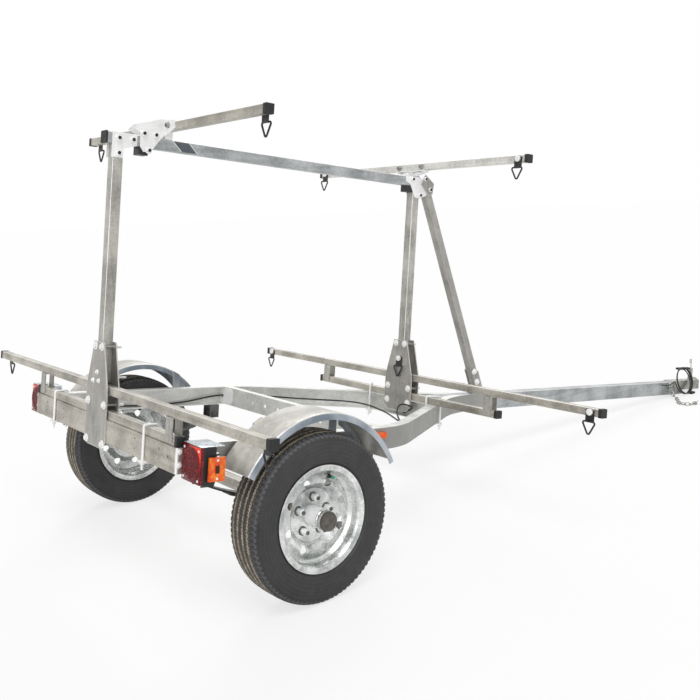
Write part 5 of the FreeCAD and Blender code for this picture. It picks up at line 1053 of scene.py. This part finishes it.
# Bright heads over the bolts that hold the tie-down rings: place, and the way that each faces
RING_BOLTS = (((-0.4107, 0.943, 0.5853), 1), ((0.9587, 0.945, 0.5853), -1),
              ((-0.2227, 0.577, 1.4883), 1), ((0.9487, 0.577, 1.4883), -1), ((0.94995, 0.0, 0.6620), -1))
RING_HEAD_PROFILE = ((0.0116, 0), (0.0116, 0.0061), (0.0100, 0.0071), (0.0040, 0.0074))


def make_ring_heads():
    heads = bmesh.new()
    for (x, y, z), out in RING_BOLTS:
        for place in sorted({-y, y}):
            add_lathe(heads, (x, place, z), (out, 0, 0), RING_HEAD_PROFILE, WASHER_SIDES)
    from_bmesh("ring_bolt_heads", heads, "zinc")


make_ring_heads()


# Lighting cable: out of the tongue's right side, round in three turns, and into the plug. The lead's
# points are listed, with X counted from LEAD_X, and the last turn isn't a full one.
CORD_RADIUS = 0.0034
COIL_X = sum(corner.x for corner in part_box("harness_coil")) / 2
COIL_BOTTOM_Y = -0.061
COIL_TURNS = 3
COIL_START = math.radians(200)
TURN_POINTS = 16
LAST_TURN_SHORT = 5
TURN_SPACE = 0.0068
TURN_FOOT = 0.0052
TURN_SIZES = (0.0770, 0.0715, 0.0800, 0.0745)
TURN_SHIFTS = (-0.003, 0.004, 0.0, -0.005)
TURN_LEANS = (14.8, 14.2, 12.8, 12.0)
LEAD_X = COIL_X - 0.002
LEAD_POINTS = ((-0.212, -0.025, 0.088), (-0.212, -0.042, 0.088), (-0.205, -0.057, 0.090),
               (-0.190, -0.066, 0.094), (-0.168, -0.068, 0.098), (-0.142, -0.062, 0.099),
               (-0.111, -0.0515, 0.0925))


def between(values, place):
    first = min(int(place), len(values) - 2)
    return values[first] + (values[first + 1] - values[first]) * (place - first)


# Each turn has its own size, shift and lean, and the turns lie beside each other
def coil_point(turn, place):
    ring = between(TURN_SIZES, place)
    lean = math.radians(between(TURN_LEANS, place))
    centre_x = COIL_X + between(TURN_SHIFTS, place)
    out = TURN_SPACE * (place - COIL_TURNS / 2)
    up = ring * (1 + math.sin(turn))
    y = COIL_BOTTOM_Y + up * math.sin(lean) - out * math.cos(lean)
    z = TURN_FOOT + up * math.cos(lean) + (out + TURN_SPACE * COIL_TURNS / 2) * math.sin(lean)
    return Vector((centre_x + ring * math.cos(turn), y, z))


def cord_points():
    points = [Vector((LEAD_X + x, y, z)) for x, y, z in LEAD_POINTS]
    for i in range(COIL_TURNS * TURN_POINTS - LAST_TURN_SHORT):
        points.append(coil_point(COIL_START + FULL_TURN * i / TURN_POINTS, i / TURN_POINTS))
    return points


def make_cord():
    points = cord_points()
    curve = bpy.data.curves.new("lighting_cable", "CURVE")
    curve.dimensions = "3D"
    curve.bevel_depth = CORD_RADIUS
    curve.bevel_resolution = 3
    curve.resolution_u = 6
    curve.use_fill_caps = True
    spline = curve.splines.new("NURBS")
    spline.points.add(len(points) - 1)
    for target, place in zip(spline.points, points):
        target.co = (*place, 1)
    spline.order_u = 3
    spline.use_endpoint_u = True
    made = bpy.data.objects.new("lighting_cable", curve)
    bpy.context.scene.collection.objects.link(made)
    curve.materials.append(MATERIALS["cable"])
    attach(made, "trailer")
    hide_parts("harness_lead", "harness_coil")


make_cord()


# Floor: pale, and seen brighter than it is lit, so that its edge doesn't show
FLOOR_HALF = 60.0
FLOOR_PATCHES = 3.0
FLOOR_DULLNESS = 8.0
FLOOR_ROUGHNESS = (0.75, 0.9)
FLOOR_GRAIN = 50.0
FLOOR_STRENGTH = 0.02
FLOOR_DEPTH = 0.001
FLOOR_GLOW = 0.72


def floor_material():
    material, tree, shader = start_material("pale_floor", 0.0)
    shader.inputs["Specular IOR Level"].default_value = 0.0
    colour = blended(tree, noise(tree, FLOOR_PATCHES), *FLOOR)
    roughness = scaled(tree, noise(tree, FLOOR_DULLNESS), 0.0, 1.0, *FLOOR_ROUGHNESS)
    bumps = relief(tree, noise(tree, FLOOR_GRAIN), FLOOR_STRENGTH, FLOOR_DEPTH)
    finish_material(tree, shader, colour, roughness, bumps)
    glow = node(tree, "ShaderNodeEmission", Strength=1.0)
    mixed = tree.nodes.new("ShaderNodeMixShader")
    seen = tree.nodes.new("ShaderNodeLightPath").outputs["Is Camera Ray"]
    share = combined(tree, "MULTIPLY", seen, FLOOR_GLOW)
    feed(tree, mixed.inputs, (share, shader.outputs["BSDF"], glow.outputs["Emission"]))
    tree.links.new(mixed.outputs["Shader"], tree.nodes["Material Output"].inputs["Surface"])
    return material


def make_floor():
    mesh = bpy.data.meshes.new("floor")
    corners = [(x * FLOOR_HALF, y * FLOOR_HALF, 0) for x, y in ((-1, -1), (1, -1), (1, 1), (-1, 1))]
    mesh.from_pydata(corners, [], [(0, 1, 2, 3)])
    floor = bpy.data.objects.new("floor", mesh)
    bpy.context.scene.collection.objects.link(floor)
    mesh.materials.append(floor_material())


# World: white where it is seen directly, mirrored or through something, and dimmer as light
WORLD_LIGHT = 0.48
DIRECT_RAYS = ("Is Camera Ray", "Is Glossy Ray", "Is Transmission Ray")


def make_world():
    world = bpy.data.worlds.new("studio")
    world.use_nodes = True
    tree = world.node_tree
    background = tree.nodes["Background"]
    background.inputs["Color"].default_value = (1, 1, 1, 1)
    path = tree.nodes.new("ShaderNodeLightPath")
    direct = added(tree, *[path.outputs[ray] for ray in DIRECT_RAYS])
    tree.links.new(scaled(tree, direct, 0.0, 1.0, WORLD_LIGHT, 1.0), background.inputs["Strength"])
    bpy.context.scene.world = world


# Suns: the way that the light goes, its strength, and how wide it is in degrees
SUNS = {"key": ((0.35, 0.45, -1.0), 1.15, 30.0),
        "fill": ((0.72, 0.55, -0.30), 0.50, 40.0),
        "rim": ((-0.55, -0.60, -0.70), 0.7, 25.0)}


def make_sun(name, direction, strength, width):
    light = bpy.data.lights.new(name, "SUN")
    light.energy = strength
    light.angle = math.radians(width)
    made = bpy.data.objects.new(name, light)
    made.rotation_euler = Vector(direction).to_track_quat("-Z", "Y").to_euler()
    bpy.context.scene.collection.objects.link(made)


# Camera, fitted to the photo: place in metres, turn in degrees, lens and sensor in millimetres
CAMERA_PLACE = (-3.10149787, -2.70230705, 1.23333672)
CAMERA_TURN = (84.83325624, 2.54678621, -36.84895205)
CAMERA_LENS = 44.5328514
CAMERA_SENSOR = 36
CAMERA_SHIFT = (0.08667919, -0.09957292)
CAMERA_REACH = 200


def make_camera():
    lens = bpy.data.cameras.new("camera")
    lens.sensor_width = CAMERA_SENSOR
    lens.lens = CAMERA_LENS
    lens.shift_x, lens.shift_y = CAMERA_SHIFT
    lens.clip_end = CAMERA_REACH
    camera = bpy.data.objects.new("camera", lens)
    camera.location = CAMERA_PLACE
    camera.rotation_euler = [math.radians(turn) for turn in CAMERA_TURN]
    bpy.context.scene.collection.objects.link(camera)
    return camera


make_floor()
make_world()
for sun_name, (sun_direction, sun_strength, sun_width) in SUNS.items():
    make_sun(sun_name, sun_direction, sun_strength, sun_width)
bpy.context.scene.camera = make_camera()
bpy.context.scene.view_settings.view_transform = "Standard"
